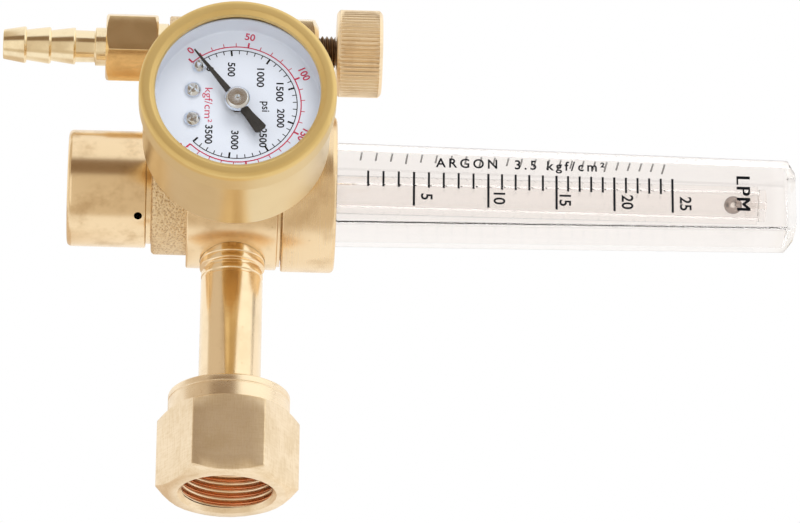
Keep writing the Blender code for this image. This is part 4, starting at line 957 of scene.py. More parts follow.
@dataclass
class Regulator(Maker):
    """The body with its forged flange, valve block and gauge boss, and the bonnet cap."""

    body_radius: float = 17.1
    body_low: float = -10.3
    body_high: float = 9.7
    step_depth: float = 0.7
    step_length: float = 0.7
    spigot_high: float = 17.6
    spigot_radius: float = 14.9
    flange_radius: float = 14.3
    flange_low: float = -18.1
    ledge_z: float = -13.2
    ledge_bore: float = 12.3
    chamber_radius: float = 9.9
    chamber_high: float = -10.5
    bore_radius: float = 5.2
    bore_high: float = 4.5
    bonnet_radius: float = 12.9
    bonnet_high: float = -19.3
    bonnet_length: float = 17.4
    inlet_hole: float = 7.22
    inlet_depth: float = 2.9
    block_radius: float = 7.3
    block_low: float = -15.2
    block_high: float = 11.2
    neck_half_width: float = 5.5
    neck_half_height: float = 8.6
    neck_end: float = 12.0
    boss_radius: float = 9.0
    boss_reach: float = 20.0
    vent_radius: float = 0.9
    vent_down: float = 1.7
    vent_angle: float = -37.7
    socket_radius: float = 4.6
    socket_depth: float = 2.6
    boss_bore: float = 6.3
    gland_bore: float = 5.9
    barb_bore: float = 5.0
    bore_depth: float = 3.0
    cap_bore: float = 9.8
    cap_mouth: float = 12.0
    cap_lap: float = 4.0
    cap_end: float = 3.0
    screw_hole: float = 5.3

    def build(self) -> None:
        """Make every piece."""
        self.main_turning()
        self.flange()
        self.gauge_boss()
        self.valve_block()
        self.neck()
        self.bonnet()

    def main_turning(self) -> None:
        """Turn the body's main cylinder with its spigot, and sink the inlet's hole into it."""
        step = self.body_radius - self.step_depth
        high = self.body_high + self.step_length
        floor = self.spigot_high - self.socket_depth
        corners = [(self.socket_radius, floor), (self.socket_radius, self.spigot_high),
                   (self.spigot_radius, self.spigot_high), (self.spigot_radius, high), (step, high),
                   (step, self.body_high), (self.body_radius, self.body_high),
                   (self.body_radius, self.body_low), (self.bore_radius, self.body_low),
                   (self.bore_radius, self.bore_high), (0.0, self.bore_high)]
        profile = Shape.rounded(corners, (0.2, 0.3, 0.1, 0.1, 0.1, 0.35, 0.45, 0.1, 0.1))
        profile = np.vstack([[(0.0, floor)], profile])
        obj = self.turned("body_turning", profile, Heading.UP, ON_MAIN, 220)
        hole = Shape.rod(self.inlet_hole, self.body_radius - self.inlet_depth, self.body_radius + 2.0)
        self.drill(obj, self.turned("inlet_tool", hole, Heading.MOUTH, ON_MAIN, 96))
        self.finish(obj, "body", "regulator", "forged_brass", ["regulator_body"])

    def flange(self) -> None:
        """Turn the forged flange below the body, with the diaphragm's ledge and chamber in it."""
        high = self.body_low + 0.6
        corners = [(self.bore_radius + 0.1, self.chamber_high), (self.bore_radius + 0.1, high),
                   (self.flange_radius, high), (self.flange_radius, self.flange_low),
                   (self.ledge_bore, self.flange_low), (self.ledge_bore, self.ledge_z),
                   (self.chamber_radius, self.ledge_z), (self.chamber_radius, self.chamber_high)]
        profile = Shape.rounded(corners, (0.1, 0.2, 1.3, 0.2, 0.1, 0.1), 6)
        obj = self.ring("forged_flange", profile, Heading.UP, ON_MAIN, 240)
        self.finish(obj, "stipple", "regulator", "forged_brass", ["regulator_body"])

    def gauge_boss(self) -> None:
        """Turn the boss that the gauge's stem screws into."""
        root = self.body_radius / 2
        floor = self.boss_reach - self.bore_depth
        corners = [(0.0, root), (self.boss_radius, root), (self.boss_radius, self.boss_reach),
                   (self.boss_bore, self.boss_reach), (self.boss_bore, floor), (0.0, floor)]
        profile = Shape.rounded(corners, (0.2, 0.5, 0.3, 0.1))
        obj = self.turned("gauge_boss", profile, Heading.FRONT, ON_MAIN)
        self.finish(obj, "stipple", "regulator", "forged_brass", ["regulator_body"])

    def valve_block(self) -> None:
        """Turn the block that holds the needle valve."""
        top, bottom = self.block_high - self.bore_depth, self.block_low + self.bore_depth
        corners = [(0.0, top), (self.gland_bore, top), (self.gland_bore, self.block_high),
                   (self.block_radius, self.block_high), (self.block_radius, self.block_low),
                   (self.barb_bore, self.block_low), (self.barb_bore, bottom), (0.0, bottom)]
        profile = Shape.rounded(corners, (0.1, 0.2, 0.4, 0.4, 0.2, 0.1))
        obj = self.turned("valve_block", profile, Heading.UP, ON_VALVE)
        self.finish(obj, "stipple", "regulator", "forged_brass", ["regulator_body"])

    def neck(self) -> None:
        """Loft the neck from the valve block to the body as a rounded oblong.

        Its section is a superellipse of power 6. Towards each end it grows by a tenth of the fourth power
        of the way from the middle, held to the neck's own width and height, so it gets squarer there.
        """
        share = np.linspace(0.0, 1.0, 21)[:, None]
        turn = Shape.circle(96)[None]
        flare = 1.0 + 0.10 * (2 * share - 1) ** 4

        def side(half: float, wave: np.ndarray) -> np.ndarray:
            """Return how far the section reaches along one of its axes."""
            return np.clip(half * flare * np.sign(wave) * np.abs(wave) ** (2.0 / 6.0), -half, half)

        x = VALVE_X + share * (MAIN_X - self.neck_end - VALVE_X)
        points = np.stack(np.broadcast_arrays(x, side(self.neck_half_width, np.cos(turn)),
                                              side(self.neck_half_height, np.sin(turn))), axis=-1)
        caps = np.concatenate([points[:1] * [1, 0, 0], points, points[-1:] * [1, 0, 0]])
        obj = Sheet().grid(caps).build("valve_neck")
        self.finish(obj, "stipple", "regulator", "forged_brass", ["regulator_body"])

    def bonnet(self) -> None:
        """Turn the bonnet cap with its rounded end, its screw socket and its vent."""
        low = self.bonnet_high - self.bonnet_length
        lap = self.flange_low + self.cap_lap
        corners = [(self.cap_bore, lap), (self.cap_mouth, lap), (self.cap_mouth, self.bonnet_high),
                   (self.bonnet_radius, self.bonnet_high), (self.bonnet_radius, low), (self.screw_hole, low),
                   (self.screw_hole, low + self.cap_end), (self.cap_bore, low + self.cap_end)]
        profile = Shape.rounded(corners, (0.2, 0.1, 0.35, 1.1, 0.3, 0.1), 6)
        obj = self.ring("bonnet_turning", profile, Heading.UP, ON_MAIN, 200)
        vent = Heading.MOUTH.carry(Shape.spun(Shape.rod(self.vent_radius, 8.0, 15.0), 40), AT_MOUTH)
        vent = Shape.rotated(vent, self.vent_angle) + (MAIN_X, 0.0, self.bonnet_high - self.vent_down)
        self.drill(obj, Sheet().grid(vent).build("vent_tool"))
        self.finish(obj, "bonnet", "regulator", "turned_brass", ["bonnet_cap"])


@dataclass
class InletUnion(Maker):
    """The nipple and the hexagon nut that turns on it."""

    nipple_radius: float = 6.8
    nipple_bore: float = 3.2
    ring_step: float = 0.35
    ring_x: float = -58.1
    flange_x: float = -17.9
    flange_length: float = 3.4
    flange_radius: float = 9.0
    nose_radius: float = 5.2
    nose_length: float = 6.0
    across: float = 27.0
    hexagon_length: float = 16.9
    cone_length: float = 1.2
    shoulder_length: float = 4.9
    shoulder_radius: float = 13.3
    face_radius: float = 12.9
    mouth_radius: float = 10.8
    crest_radius: float = 9.95
    pitch: float = 1.814
    thread_depth: float = 1.05
    back_wall: float = 4.8

    def build(self) -> None:
        """Make every piece."""
        self.nipple()
        self.nut()
        self.shoulder()
        self.thread()

    def nipple(self) -> None:
        """Turn the nipple: stepped rings where it enters the body, a plain shank, a flange and a nose."""
        r, ring, x = self.nipple_radius, self.nipple_radius + self.ring_step, self.ring_x
        nose = self.flange_x + self.flange_length
        tip = nose + self.nose_length
        corners = [(self.nipple_bore, tip), (self.nose_radius - 1.0, tip), (self.nose_radius, tip - 1.0),
                   (self.nose_radius, nose), (self.flange_radius, nose), (self.flange_radius, self.flange_x),
                   (r, self.flange_x), (r, x + 7.6), (r - 0.18, x + 7.4), (r - 0.18, x + 6.9), (r, x + 6.7),
                   (r, x + 5.6), (r - 0.35, x + 5.4), (r - 0.35, x + 4.7), (ring, x + 4.4), (ring, x + 3.2),
                   (ring - 0.15, x + 3.1), (ring - 0.15, x + 2.9), (ring, x + 2.8), (ring, x), (r - 1.0, x),
                   (self.nipple_bore, x)]
        profile = Shape.rounded(corners, 0.12, 3)
        obj = self.ring("nipple_turning", profile, Heading.MOUTH, AT_MOUTH)
        self.finish(obj, "nipple", "regulator", "turned_brass", ["inlet_nipple"])

    def nut(self) -> None:
        """Mill the nut's outside and ends.

        Round the hexagon's rounded outline of radius R, the front chamfer starts (R - face radius) tan 30
        degrees behind the mouth's face, and the back cone falls from R to the shoulder over the cone's
        length in proportion to R.
        """
        outline = Shape.hexagon(self.across, 0.5)
        reach = np.hypot(outline[:, 0], outline[:, 1])
        face, mouth, shoulder = self.face_radius, self.mouth_radius, self.shoulder_radius
        back = -(self.hexagon_length + self.cone_length)
        chamfer = -(np.maximum(reach, face) - face) * CONE_SLOPE
        rise = (reach - shoulder) / (reach.max() - shoulder)
        flat_end = back + self.cone_length * np.clip(rise, 0.0, 1.0)
        flat_start = chamfer - 0.12
        tight = np.minimum(reach, shoulder)
        spots = [(mouth - 0.9, -1.0), (mouth - 0.15, -0.12), (mouth, 0.0), (face - 0.25, 0.0), (face, -0.1)]
        spots += [(face + (reach - face) * s, chamfer * s) for s in (0.35, 0.7, 0.93)]
        spots += [(reach, flat_start + (flat_end - flat_start) * s) for s in (0.0, 0.2, 0.4, 0.6, 0.8, 0.99)]
        spots += [(reach + (tight - reach) * s, flat_end + (back - flat_end) * s) for s in (0.04, 0.5, 1.0)]
        spots += [(tight, back - 0.1), (shoulder - 0.3, back - 0.1)]
        rows = np.stack([Shape.pushed(outline, radius, height) for radius, height in spots])
        sheet = Sheet().grid(Heading.MOUTH.carry(rows, AT_MOUTH))
        self.finish(sheet.build("nut_milling", 24.0, Facing.TURNED), "nut", "union_nut", "turned_brass",
                    ["inlet_nut"])

    def shoulder(self) -> None:
        """Turn the nut's round shoulder and its inner back wall."""
        back = -(self.hexagon_length + self.cone_length)
        low = back - self.shoulder_length
        r, bore = self.shoulder_radius, self.nipple_radius + CLEAR
        root = self.crest_radius + self.thread_depth
        inner = low + self.back_wall
        corners = [(root, back + 0.6), (r - 0.05, back + 0.6), (r, back), (r, low + 1.9),
                   (r - 0.12, low + 1.8), (r - 0.12, low + 1.6), (r, low + 1.5), (r, low), (bore, low),
                   (bore, inner), (root, inner), (root, back + 0.6)]
        profile = Shape.rounded(corners, (0.0, 0.05, 0.05, 0.05, 0.05, 0.05, 0.4, 0.3, 0.1, 0.1), 5)[:-1]
        obj = self.ring("nut_shoulder", profile, Heading.MOUTH, AT_MOUTH, 200)
        self.finish(obj, "shoulder", "union_nut", "turned_brass", ["inlet_nut"])

    def thread(self) -> None:
        """Cut the female thread.

        The radius is the crest's plus the thread's depth times (1 - cos(x / pitch - turn)) / 2, with both
        in whole turns, and it opens into the mouth's countersink over the first turn.
        """
        low = -(self.hexagon_length + self.cone_length + self.shoulder_length) + self.back_wall
        turn = Shape.circle(144)[None]
        x = np.linspace(-0.05, low, 190)[:, None]
        wave = 0.5 - 0.5 * np.cos(x / self.pitch * math.tau - turn)
        funnel = self.mouth_radius + 0.02 + np.minimum(x, 0.0) * 1.1
        points = Shape.around(np.maximum(self.crest_radius + self.thread_depth * wave, funnel), turn, x)
        sheet = Sheet().grid(Heading.MOUTH.carry(points, AT_MOUTH))
        self.finish(sheet.build("nut_thread", 70.0, Facing.KEPT), "thread", "union_nut", "turned_brass",
                    ["inlet_nut"])


@dataclass
class Gauge(Maker):
    """The pressure gauge: case, bezel, window, printed dial, pointer and screws."""

    front: float = 51.5
    depth: float = 26.3
    bezel_radius: float = 21.2
    bezel_length: float = 6.6
    case_radius: float = 20.3
    window_radius: float = 17.7
    window_thick: float = 2.0
    window_sink: float = 1.7
    dial_depth: float = 8.8
    dial_radius: float = 18.6
    zero: float = 225.0
    sweep: float = 270.0
    inner_arc: float = 12.95
    outer_arc: float = 13.8
    scale_shift: Triple = (-0.4, -0.1, 0.0)
    pointer_angle: float = 218.0
    pointer_reach: float = 15.4
    pointer_tail: float = 8.6
    pointer_lift: float = 2.2
    hub_radius: float = 2.7
    print_thick: float = 0.03
    red_zero: Pair = (-13.1, -10.4)
    red_radius: float = 16.2
    red_shift: Pair = (-0.7, -0.1)
    figure_height: float = 1.6
    figure_spots: tuple[Pair, ...] = (
        (-8.7, -6.0), (-8.7, -1.4), (-6.9, 4.9), (-3.55, 9.1),
        (2.7, 9.4), (7.5, 5.7), (8.2, -0.35), (7.0, -5.95))
    case_wall: float = 1.2
    stem_hole: float = 5.5
    screws_apart: float = 3.5
    screws_down: float = 9.6
    slot_half_width: float = 0.24
    slot_half_length: float = 1.4
    slot_turn: float = 35.0
    blade_thick: float = 0.4
    blade_hub: float = 2.2

    @property
    def dial_front(self) -> float:
        """Return how far in front of the main axis the dial's face is."""
        return self.front - self.dial_depth

    def build(self) -> None:
        """Make every piece."""
        self.case()
        self.bezel()
        self.window()
        self.dial()
        self.scales()
        self.screws()
        self.stop_pin()
        self.pointer()
        self.hub()

    def case(self) -> None:
        """Spin the pressed case: a plain drum with a rounded back."""
        r, back = self.case_radius, self.front - self.depth
        edge = self.front - self.window_sink - self.window_thick - CLEAR
        wall = self.case_wall
        corners = [(r, edge), (r, back), (self.stem_hole, back), (self.stem_hole, back + wall),
                   (r - wall, back + wall), (r - wall, edge)]
        profile = Shape.rounded(corners, (1.8, 0.3, 0.3, 1.0), 8)
        obj = self.ring("case_pressing", profile, Heading.FRONT, ON_MAIN, 220)
        self.finish(obj, "case", "regulator", "gauge_gold", ["gauge_case"])

    def bezel(self) -> None:
        """Spin the bezel: a rolled front edge that falls to the window, and a straight skirt."""
        r, w, f = self.bezel_radius, self.window_radius, self.front
        skirt, low, seat = self.case_radius + CLEAR, f - self.bezel_length, f - self.window_sink
        corners = [(w, seat + 0.1), (w + 0.15, f - 0.75), (w + 1.1, f), (r, f), (r, low), (skirt, low),
                   (skirt, seat + CLEAR), (w, seat + CLEAR)]
        profile = Shape.rounded(corners, (0.5, 0.8, 1.9, 0.4, 0.1, 0.1), 8)
        obj = self.ring("bezel_pressing", profile, Heading.FRONT, ON_MAIN, 220)
        self.finish(obj, "gold", "regulator", "gauge_gold", ["gauge_bezel"])

    def window(self) -> None:
        """Make the flat window with ground edges."""
        high = self.front - self.window_sink
        low, r = high - self.window_thick, self.case_radius - 0.9
        corners = [(0.0, high), (r, high), (r, low), (0.0, low)]
        obj = self.turned("window_disc", Shape.rounded(corners, 0.25, 3), Heading.FRONT, ON_MAIN)
        self.finish(obj, "glass", "regulator", "clear_glass", ["gauge_glass"])

    def dial(self) -> None:
        """Press the dial: a flat face with a shallow wall that stands up behind the window."""
        f, r = self.dial_front, self.dial_radius
        high = self.front - self.window_sink - self.window_thick - 0.6
        corners = [(1.5, f - 0.5), (1.5, f), (r - 0.5, f), (r - 0.1, high), (r + 0.25, high),
                   (r + 0.25, f - 0.5)]
        profile = Shape.rounded(corners, (0.05, 0.5, 0.1, 0.1), 5)
        obj = self.ring("dial_pressing", profile, Heading.FRONT, ON_MAIN, 200)
        self.finish(obj, "dial", "regulator", "dial_white", ["gauge_dial"])

    def spot(self, share: float, radius: float) -> Pair:
        """Return where a share of the scale lies at a radius, as (right, up) on the dial."""
        angle = math.radians(self.zero - self.sweep * share)
        return radius * math.cos(angle), radius * math.sin(angle)

    def arc(self, sheet: Sheet, radius: float, width: float) -> None:
        """Print an arc from zero to full scale: two rows of points round the dial's centre.

        Args:
            sheet: The print.
            radius: The arc's radius.
            width: How wide its line is.
        """
        angle = np.radians(np.linspace(self.zero, self.zero - self.sweep, 181))[None]
        r = np.array([radius + width / 2, radius - width / 2])[:, None]
        sheet.grid(Shape.around(r, angle, 0.0) + self.scale_shift, wrap=False)

    def ticks(self, sheet: Sheet, count: int, near: float, far: float, width: float, skip: int = 0) -> None:
        """Print radial ticks: a strip along the spoke at each share of the scale.

        Args:
            sheet: The print.
            count: How many steps the scale has.
            near: The radius where a tick starts.
            far: The radius where it ends.
            width: How wide it is.
            skip: Every nth tick is left out; 0 keeps them all.
        """
        number = np.arange(count + 1)
        if skip:
            number = number[number % skip != 0]
        angle = np.radians(self.zero - self.sweep * number / count)
        way = np.stack([np.cos(angle), np.sin(angle)], axis=-1)
        side = np.stack([-np.sin(angle), np.cos(angle)], axis=-1) * width / 2
        corners = np.stack([way * near - side, way * far - side, way * far + side, way * near + side], axis=1)
        points = np.concatenate([corners, np.zeros(corners.shape[:2] + (1,))], axis=-1)
        sheet.add(points + self.scale_shift, np.arange(len(number) * 4).reshape(-1, 4))

    def lay(self, sheet: Sheet, name: str, ink: str) -> None:
        """Lay finished print on the dial's face, facing the window.

        Args:
            sheet: The print, in the dial's plane.
            name: The piece's name.
            ink: Its finish, by the palette's name.
        """
        height = (0.0, 0.0, self.dial_front + self.print_thick)
        sheet.moved(lambda points: Heading.FRONT.carry(points + height, ON_MAIN))
        self.finish(sheet.build(name, facing=Facing.FRONT), ink, "regulator", "dial_white")

    def scales(self) -> None:
        """Print the black scale inside and the red one outside, with their figures and units."""
        black, red = Sheet(), Sheet()
        self.arc(black, self.inner_arc, 0.2)
        self.ticks(black, 35, self.inner_arc - 0.9, self.inner_arc, 0.2, 5)
        self.ticks(black, 7, self.inner_arc - 1.35, self.inner_arc, 0.42)
        for index, place in enumerate(self.figure_spots):
            words = str(index * 500)
            black.words(words, self.figure_height, place, bold=0.045, width=len(words) * 1.13)
        black.words("psi", 1.75, (0.0, 6.2), bold=0.03)
        self.arc(red, self.outer_arc, 0.26)
        self.ticks(red, 25, self.outer_arc, self.outer_arc + 0.9, 0.18, 5)
        self.ticks(red, 5, self.outer_arc, self.outer_arc + 1.2, 0.4)
        for index in range(6):
            right, up = self.spot(index / 5, self.red_radius)
            place = (right + self.red_shift[0], up + self.red_shift[1]) if index else self.red_zero
            red.words(str(index * 50), 1.65, place, self.zero - self.sweep * index / 5 - 90.0, 0.05)
        red.words("kgf/cm²", 1.75, (0.0, -6.15), width=8.3)
        self.lay(black, "black_scale", "black ink")
        self.lay(red, "red_scale", "red ink")

    def screws(self) -> None:
        """Turn the two dial screws, and cut a pair of crossed slots into each."""
        head = self.dial_front + CLEAR
        corners = [(0.0, head + 0.95), (1.1, head + 0.9), (1.75, head + 0.35), (1.75, head), (0.7, head),
                   (0.7, head - 4.0), (0.0, head - 4.0)]
        pan = Shape.rounded(corners, (0.4, 0.3, 0.08, 0.05, 0.1), 4)
        for index, side in enumerate((-1, 1), start=1):
            spot = (MAIN_X + side * self.screws_apart, 0.0, -self.screws_down)
            obj = self.turned(f"dial_screw_pan_{index}", pan, Heading.FRONT, spot, 64)
            for angle in (self.slot_turn * side, self.slot_turn * side + 90.0):
                self.drill(obj, self.slot_tool(spot, head + 0.25, angle))
            self.finish(obj, "steel", "regulator", "steel", [f"dial_screw_{index}"])

    def slot_tool(self, spot: Triple, low: float, angle: float) -> bpy.types.Object:
        """Make the thin block that cuts one slot of a screw's head.

        Args:
            spot: Where the screw is.
            low: How far forward the slot's floor is.
            angle: The slot's turn, in degrees.

        Returns:
            The block.
        """
        wide, long = self.slot_half_width, self.slot_half_length
        block = np.array([(x, y, z) for z in (low, low + 2.0) for y in (-wide, wide) for x in (-long, long)])
        faces = [(0, 1, 3, 2), (4, 5, 7, 6), (0, 1, 5, 4), (2, 3, 7, 6), (0, 2, 6, 4), (1, 3, 7, 5)]
        return Sheet().add(Heading.FRONT.carry(Shape.rotated(block, angle), spot), faces).build("slot_tool")

    def stop_pin(self) -> None:
        """Turn the pointer's stop pin, with a riveted foot on the dial."""
        low, high = (np.array(corner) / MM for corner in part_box("stop_pin"))
        spot = ((low[0] + high[0]) / 2, 0.0, (low[2] + high[2]) / 2)
        radius = (high[0] - low[0]) / 2
        top, bottom = -low[1], -high[1]
        rivet = self.dial_front + 0.05
        corners = [(0.0, top), (radius, top), (radius, rivet + 1.0), (1.0, rivet + 1.0), (1.45, rivet + 0.4),
                   (1.45, rivet), (radius, rivet), (radius, bottom), (0.0, bottom)]
        radii = (0.15, 0.1, 0.3, 0.2, 0.05, 0.05, 0.15)
        obj = self.turned("stop_pin_turning", Shape.rounded(corners, radii, 4), Heading.FRONT, spot, 48)
        self.finish(obj, "steel", "regulator", "steel", ["stop_pin"])

    def pointer(self) -> None:
        """Stamp the pointer, with a round hub and a tail that widens.

        Along it, the half width falls evenly from the hub to the tip, bulges to a circle at the hub and
        grows over the tail; its section is a flat plate with a small bevel on its upper edges.
        """
        low = self.dial_front + self.pointer_lift
        high, tail_end, hub = low + self.blade_thick, self.pointer_tail, self.blade_hub
        share = np.linspace(-tail_end, self.pointer_reach, 70)
        tail = np.clip((-share - 4.0) / (tail_end - 4.0), 0.0, 1.0)
        half = np.where(share > 0, 0.85 + (0.14 - 0.85) * share / self.pointer_reach, 1.0 + 0.45 * tail)
        half = np.maximum(half, np.sqrt(np.maximum(hub ** 2 - share ** 2, 0.0)))
        end = np.clip((share + tail_end) / 0.5, 0.0, 1.0)
        half = half * np.sqrt(1 - (1 - end) ** 2 * 0.6)
        section = ((0.0, high), (0.88, high), (1.0, high - 0.08), (1.0, low), (0.0, low), (-1.0, low),
                   (-1.0, high - 0.08), (-0.88, high))
        points = np.stack([np.stack([share, half * side, np.full_like(share, height)], axis=-1)
                           for side, height in section], axis=1)
        middle = points.mean(axis=1, keepdims=True).repeat(len(section), axis=1)
        points = Shape.rotated(np.concatenate([middle[:1], points, middle[-1:]]), self.pointer_angle)
        obj = Sheet().grid(Heading.FRONT.carry(points, ON_MAIN)).build("pointer_blade")
        self.finish(obj, "pointer", "pointer_set", "pointer_black", ["pointer"])

    def hub(self) -> None:
        """Turn the pointer's hub cap."""
        base, r = self.dial_front + self.pointer_lift + self.blade_thick + CLEAR, self.hub_radius
        corners = [(0.0, base + 0.9), (0.42, base + 0.9), (0.5, base + 1.7), (r - 0.5, base + 1.7),
                   (r, base + 1.2), (r, base), (1.0, base), (1.0, base + 1.0), (0.0, base + 1.0)]
        profile = Shape.rounded(corners, (0.1, 0.1, 0.4, 0.3, 0.1, 0.1, 0.05), 4)
        obj = self.turned("hub_cap", profile, Heading.FRONT, ON_MAIN, 96)
        self.finish(obj, "turned steel", "pointer_set", "steel", ["pointer_hub"])


@dataclass
class FlowTube(Maker):
    """The collar, the clear cover with its prints, the metering tube, its ball and its stop."""

    collar_radius: float = 17.4
    collar_low: float = 10.7
    collar_high: float = 22.5
    collar_bore: float = 15.2
    collar_hole: float = 12.2
    wall: float = 1.4
    end_wall: float = 2.1
    foot_radius: float = 14.0
    foot_thick: float = 1.8
    chamfer: float = 1.9
    tube_radius: float = 4.3
    tube_low: float = 15.3
    tube_high: float = 116.4
    bore_low: float = 2.3
    bore_high: float = 2.75
    ball_radius: float = 2.0
    ball_z: float = 111.0
    print_lift: float = 0.04
    levels_at: tuple[Pair, ...] = ((2, 29.55), (5, 39.71), (10, 56.18), (15, 71.29), (20, 84.12), (25, 97.03))
    figures_at: tuple[Pair, ...] = ((5, 42.64), (10, 58.71), (15, 73.29), (20, 87.09), (25, 100.0))

    def build(self) -> None:
        """Make every piece."""
        self.collar()
        self.cover()
        self.metering_tube()
        self.stop()
        self.ball()
        self.front_print()
        self.side_print()

    def collar(self) -> None:
        """Turn the collar: a brushed band with a rolled edge at its upper end."""
        r, low, high = self.collar_radius, self.collar_low, self.collar_high
        corners = [(self.collar_hole, high), (r, high), (r, low), (self.collar_bore, low),
                   (self.collar_bore, high - 1.0), (self.collar_hole, high - 1.0)]
        profile = Shape.rounded(corners, (1.1, 0.4, 0.2, 0.2), 7)
        obj = self.ring("collar_turning", profile, Heading.UP, ON_MAIN, 220)
        self.finish(obj, "collar", "regulator", "turned_brass", ["tube_collar"])

    def outline(self, half: Pair, corner: float, count: int = 4) -> np.ndarray:
        """Outline a rounded oblong: an arc in each quarter, joined by straight sides.

        Args:
            half: Half its width and half its depth.
            corner: The radius of the arcs.
            count: Steps in each arc.

        Returns:
            The outline's points, as (x, y) rows.
        """
        quarter = np.arange(4)[:, None] * math.pi / 2
        swing = np.linspace(0.0, math.pi / 2, count + 1)[None]
        sign_x = np.array([1, -1, -1, 1])[:, None]
        sign_y = np.array([1, 1, -1, -1])[:, None]
        x = sign_x * (half[0] - corner) + corner * np.cos(quarter + swing)
        y = sign_y * (half[1] - corner) + corner * np.sin(quarter + swing)
        return np.stack([x, y], axis=-1).reshape(-1, 2)

    def halves(self, z: float | np.ndarray, inset: float = 0.0) -> tuple[float | np.ndarray, ...]:
        """Return the cover's half sizes at a height, which fall evenly from its foot to its end."""
        share = (z - COVER_SPAN[0]) / (COVER_SPAN[1] - COVER_SPAN[0])
        return tuple(half[0] + (half[1] - half[0]) * share - inset for half in (COVER_HALF_X, COVER_HALF_Y))

    def cover(self) -> None:
        """Mould the clear cover: a tapered oblong shell with a chamfered closed end and a round foot."""
        low, top = COVER_SPAN
        edge, wall, foot = self.chamfer, self.wall, self.foot_radius
        foot_high, inner_top = low + self.foot_thick, top - self.end_wall

        def row(z: float, inset: float, corner: float) -> np.ndarray:
            """Return one row of the shell at a height."""
            flat = self.outline(self.halves(z, inset), corner)
            return np.column_stack([flat, np.full(len(flat), z)])

        first = row(foot_high, 0.0, 0.7)
        rows = [Shape.pushed(first[:, :2], radius, z) for radius, z in (
            (foot - 0.2, low), (foot, low + 0.2), (foot, foot_high - 0.2), (foot - 0.2, foot_high))]
        rows += [first] + [row(z, 0.0, 0.7) for z in np.linspace(foot_high + 0.4, top - edge - 0.1, 24)]
        inset = edge * 0.9
        rows += [row(top - edge * 0.95, 0.08, 0.8), row(top - 0.1, inset, 1.2), row(top, inset + 0.2, 1.2)]
        rows += [first * [0, 0, 0] + [0, 0, z] for z in (top, inner_top)]
        rows += [row(inner_top, wall + 0.4, 0.3), row(inner_top - 0.4, wall, 0.3)]
        rows += [row(z, wall, 0.3) for z in np.linspace(inner_top - 2.0, low, 24)]
        sheet = Sheet().grid(Heading.UP.carry(np.stack(rows), ON_MAIN), close=True)
        obj = sheet.build("cover_moulding", 28.0)
        self.finish(obj, "plastic", "regulator", "clear_plastic", ["flow_tube_cover"])

    def metering_tube(self) -> None:
        """Draw the tapered metering tube."""
        r, low, high = self.tube_radius, self.tube_low, self.tube_high
        corners = [(r, high), (r, low), (self.bore_low, low), (self.bore_high, high), (r, high)]
        obj = self.ring("metering_bore", Shape.rounded(corners, 0.2, 3)[:-1], Heading.UP, ON_MAIN, 96)
        self.finish(obj, "plastic", "regulator", "clear_plastic", ["metering_tube"])

    def stop(self) -> None:
        """Mould the stop in the metering tube's upper end."""
        base, stub, head, hole = self.tube_high + CLEAR, self.bore_high - 0.35, 3.6, 0.7
        corners = [(head, base + 1.5), (head, base), (stub, base), (stub, base - 3.0), (hole, base - 3.0),
                   (hole, base + 1.5), (head, base + 1.5)]
        obj = self.ring("stop_moulding", Shape.rounded(corners, 0.15, 3)[:-1], Heading.UP, ON_MAIN, 64)
        self.finish(obj, "plastic", "regulator", "clear_plastic", ["tube_stop"])

    def ball(self) -> None:
        """Grind the ball: radius r, turned from a half circle."""
        angle = np.linspace(math.pi / 2, -math.pi / 2, 41)
        profile = np.stack([self.ball_radius * np.cos(angle), self.ball_radius * np.sin(angle)], axis=-1)
        profile[[0, -1], 0] = 0.0
        obj = self.turned("ball_sphere", profile, Heading.UP, (MAIN_X, 0.0, self.ball_z), 72)
        self.finish(obj, "ball", "ball", "steel", ["flow_ball"])

    def bar(self, sheet: Sheet, z: float, start: float, end: float, width: float, lean: float = 0.0) -> None:
        """Print one bar across the tube.

        Args:
            sheet: The print, with x across the tube and y up it.
            z: The bar's height.
            start: Where it starts across the tube.
            end: Where it ends.
            width: How wide its line is.
            lean: How much higher its end is than its start.
        """
        low, high = z - width / 2, z + width / 2
        corners = [(start, low, 0.0), (end, low + lean, 0.0), (end, high + lean, 0.0), (start, high, 0.0)]
        sheet.add(np.array(corners), [(0, 1, 2, 3)])

    def levels(self) -> np.ndarray:
        """Return the height of each mark from 2 to 25, spread evenly between the figures' marks."""
        return np.interp(np.arange(2, 26), *np.array(self.levels_at).T)

    def front_print(self) -> None:
        """Print the scale, its figures, its unit and one line of text on the cover's front."""
        sheet = Sheet()
        for number, z in enumerate(self.levels(), start=2):
            long = number % 5 == 0
            self.bar(sheet, z, -3.1, 5.2 if long else 0.7, 0.52 if long else 0.48)
        for number, z in self.figures_at:
            sheet.words(str(number), 2.6, (2.9, z), bold=0.07)
        for nudge in (-0.13, 0.0, 0.13):
            sheet.words("LPM", 3.2, (nudge, 112.9), width=8.2, spacing=1.15)
        sheet.words("ARGON  3.5 kgf/cm²", 2.3, (-5.6, 63.25), 90.0, 0.06, 37.5, 1.4)
        sheet.moved(lambda flat: np.column_stack(
            [MAIN_X + flat[:, 0], -self.halves(flat[:, 1])[1] - self.print_lift, flat[:, 1]]))
        obj = sheet.build("front_print", facing=Facing.FRONT)
        self.finish(obj, "black ink", "regulator", "clear_plastic")

    def side_print(self) -> None:
        """Print the second scale on the cover's side that faces away from the nut."""
        sheet = Sheet()
        for number, z in enumerate(self.levels() - 1.5, start=2):
            self.bar(sheet, z, -1.6 if number % 5 else -2.6, 2.6, 0.4, 0.2)
        sheet.moved(lambda flat: np.column_stack(
            [MAIN_X - self.halves(flat[:, 1])[0] - self.print_lift, -flat[:, 0], flat[:, 1]]))
        obj = sheet.build("side_print", facing=Facing.KEPT)
        self.finish(obj, "black ink", "regulator", "clear_plastic")


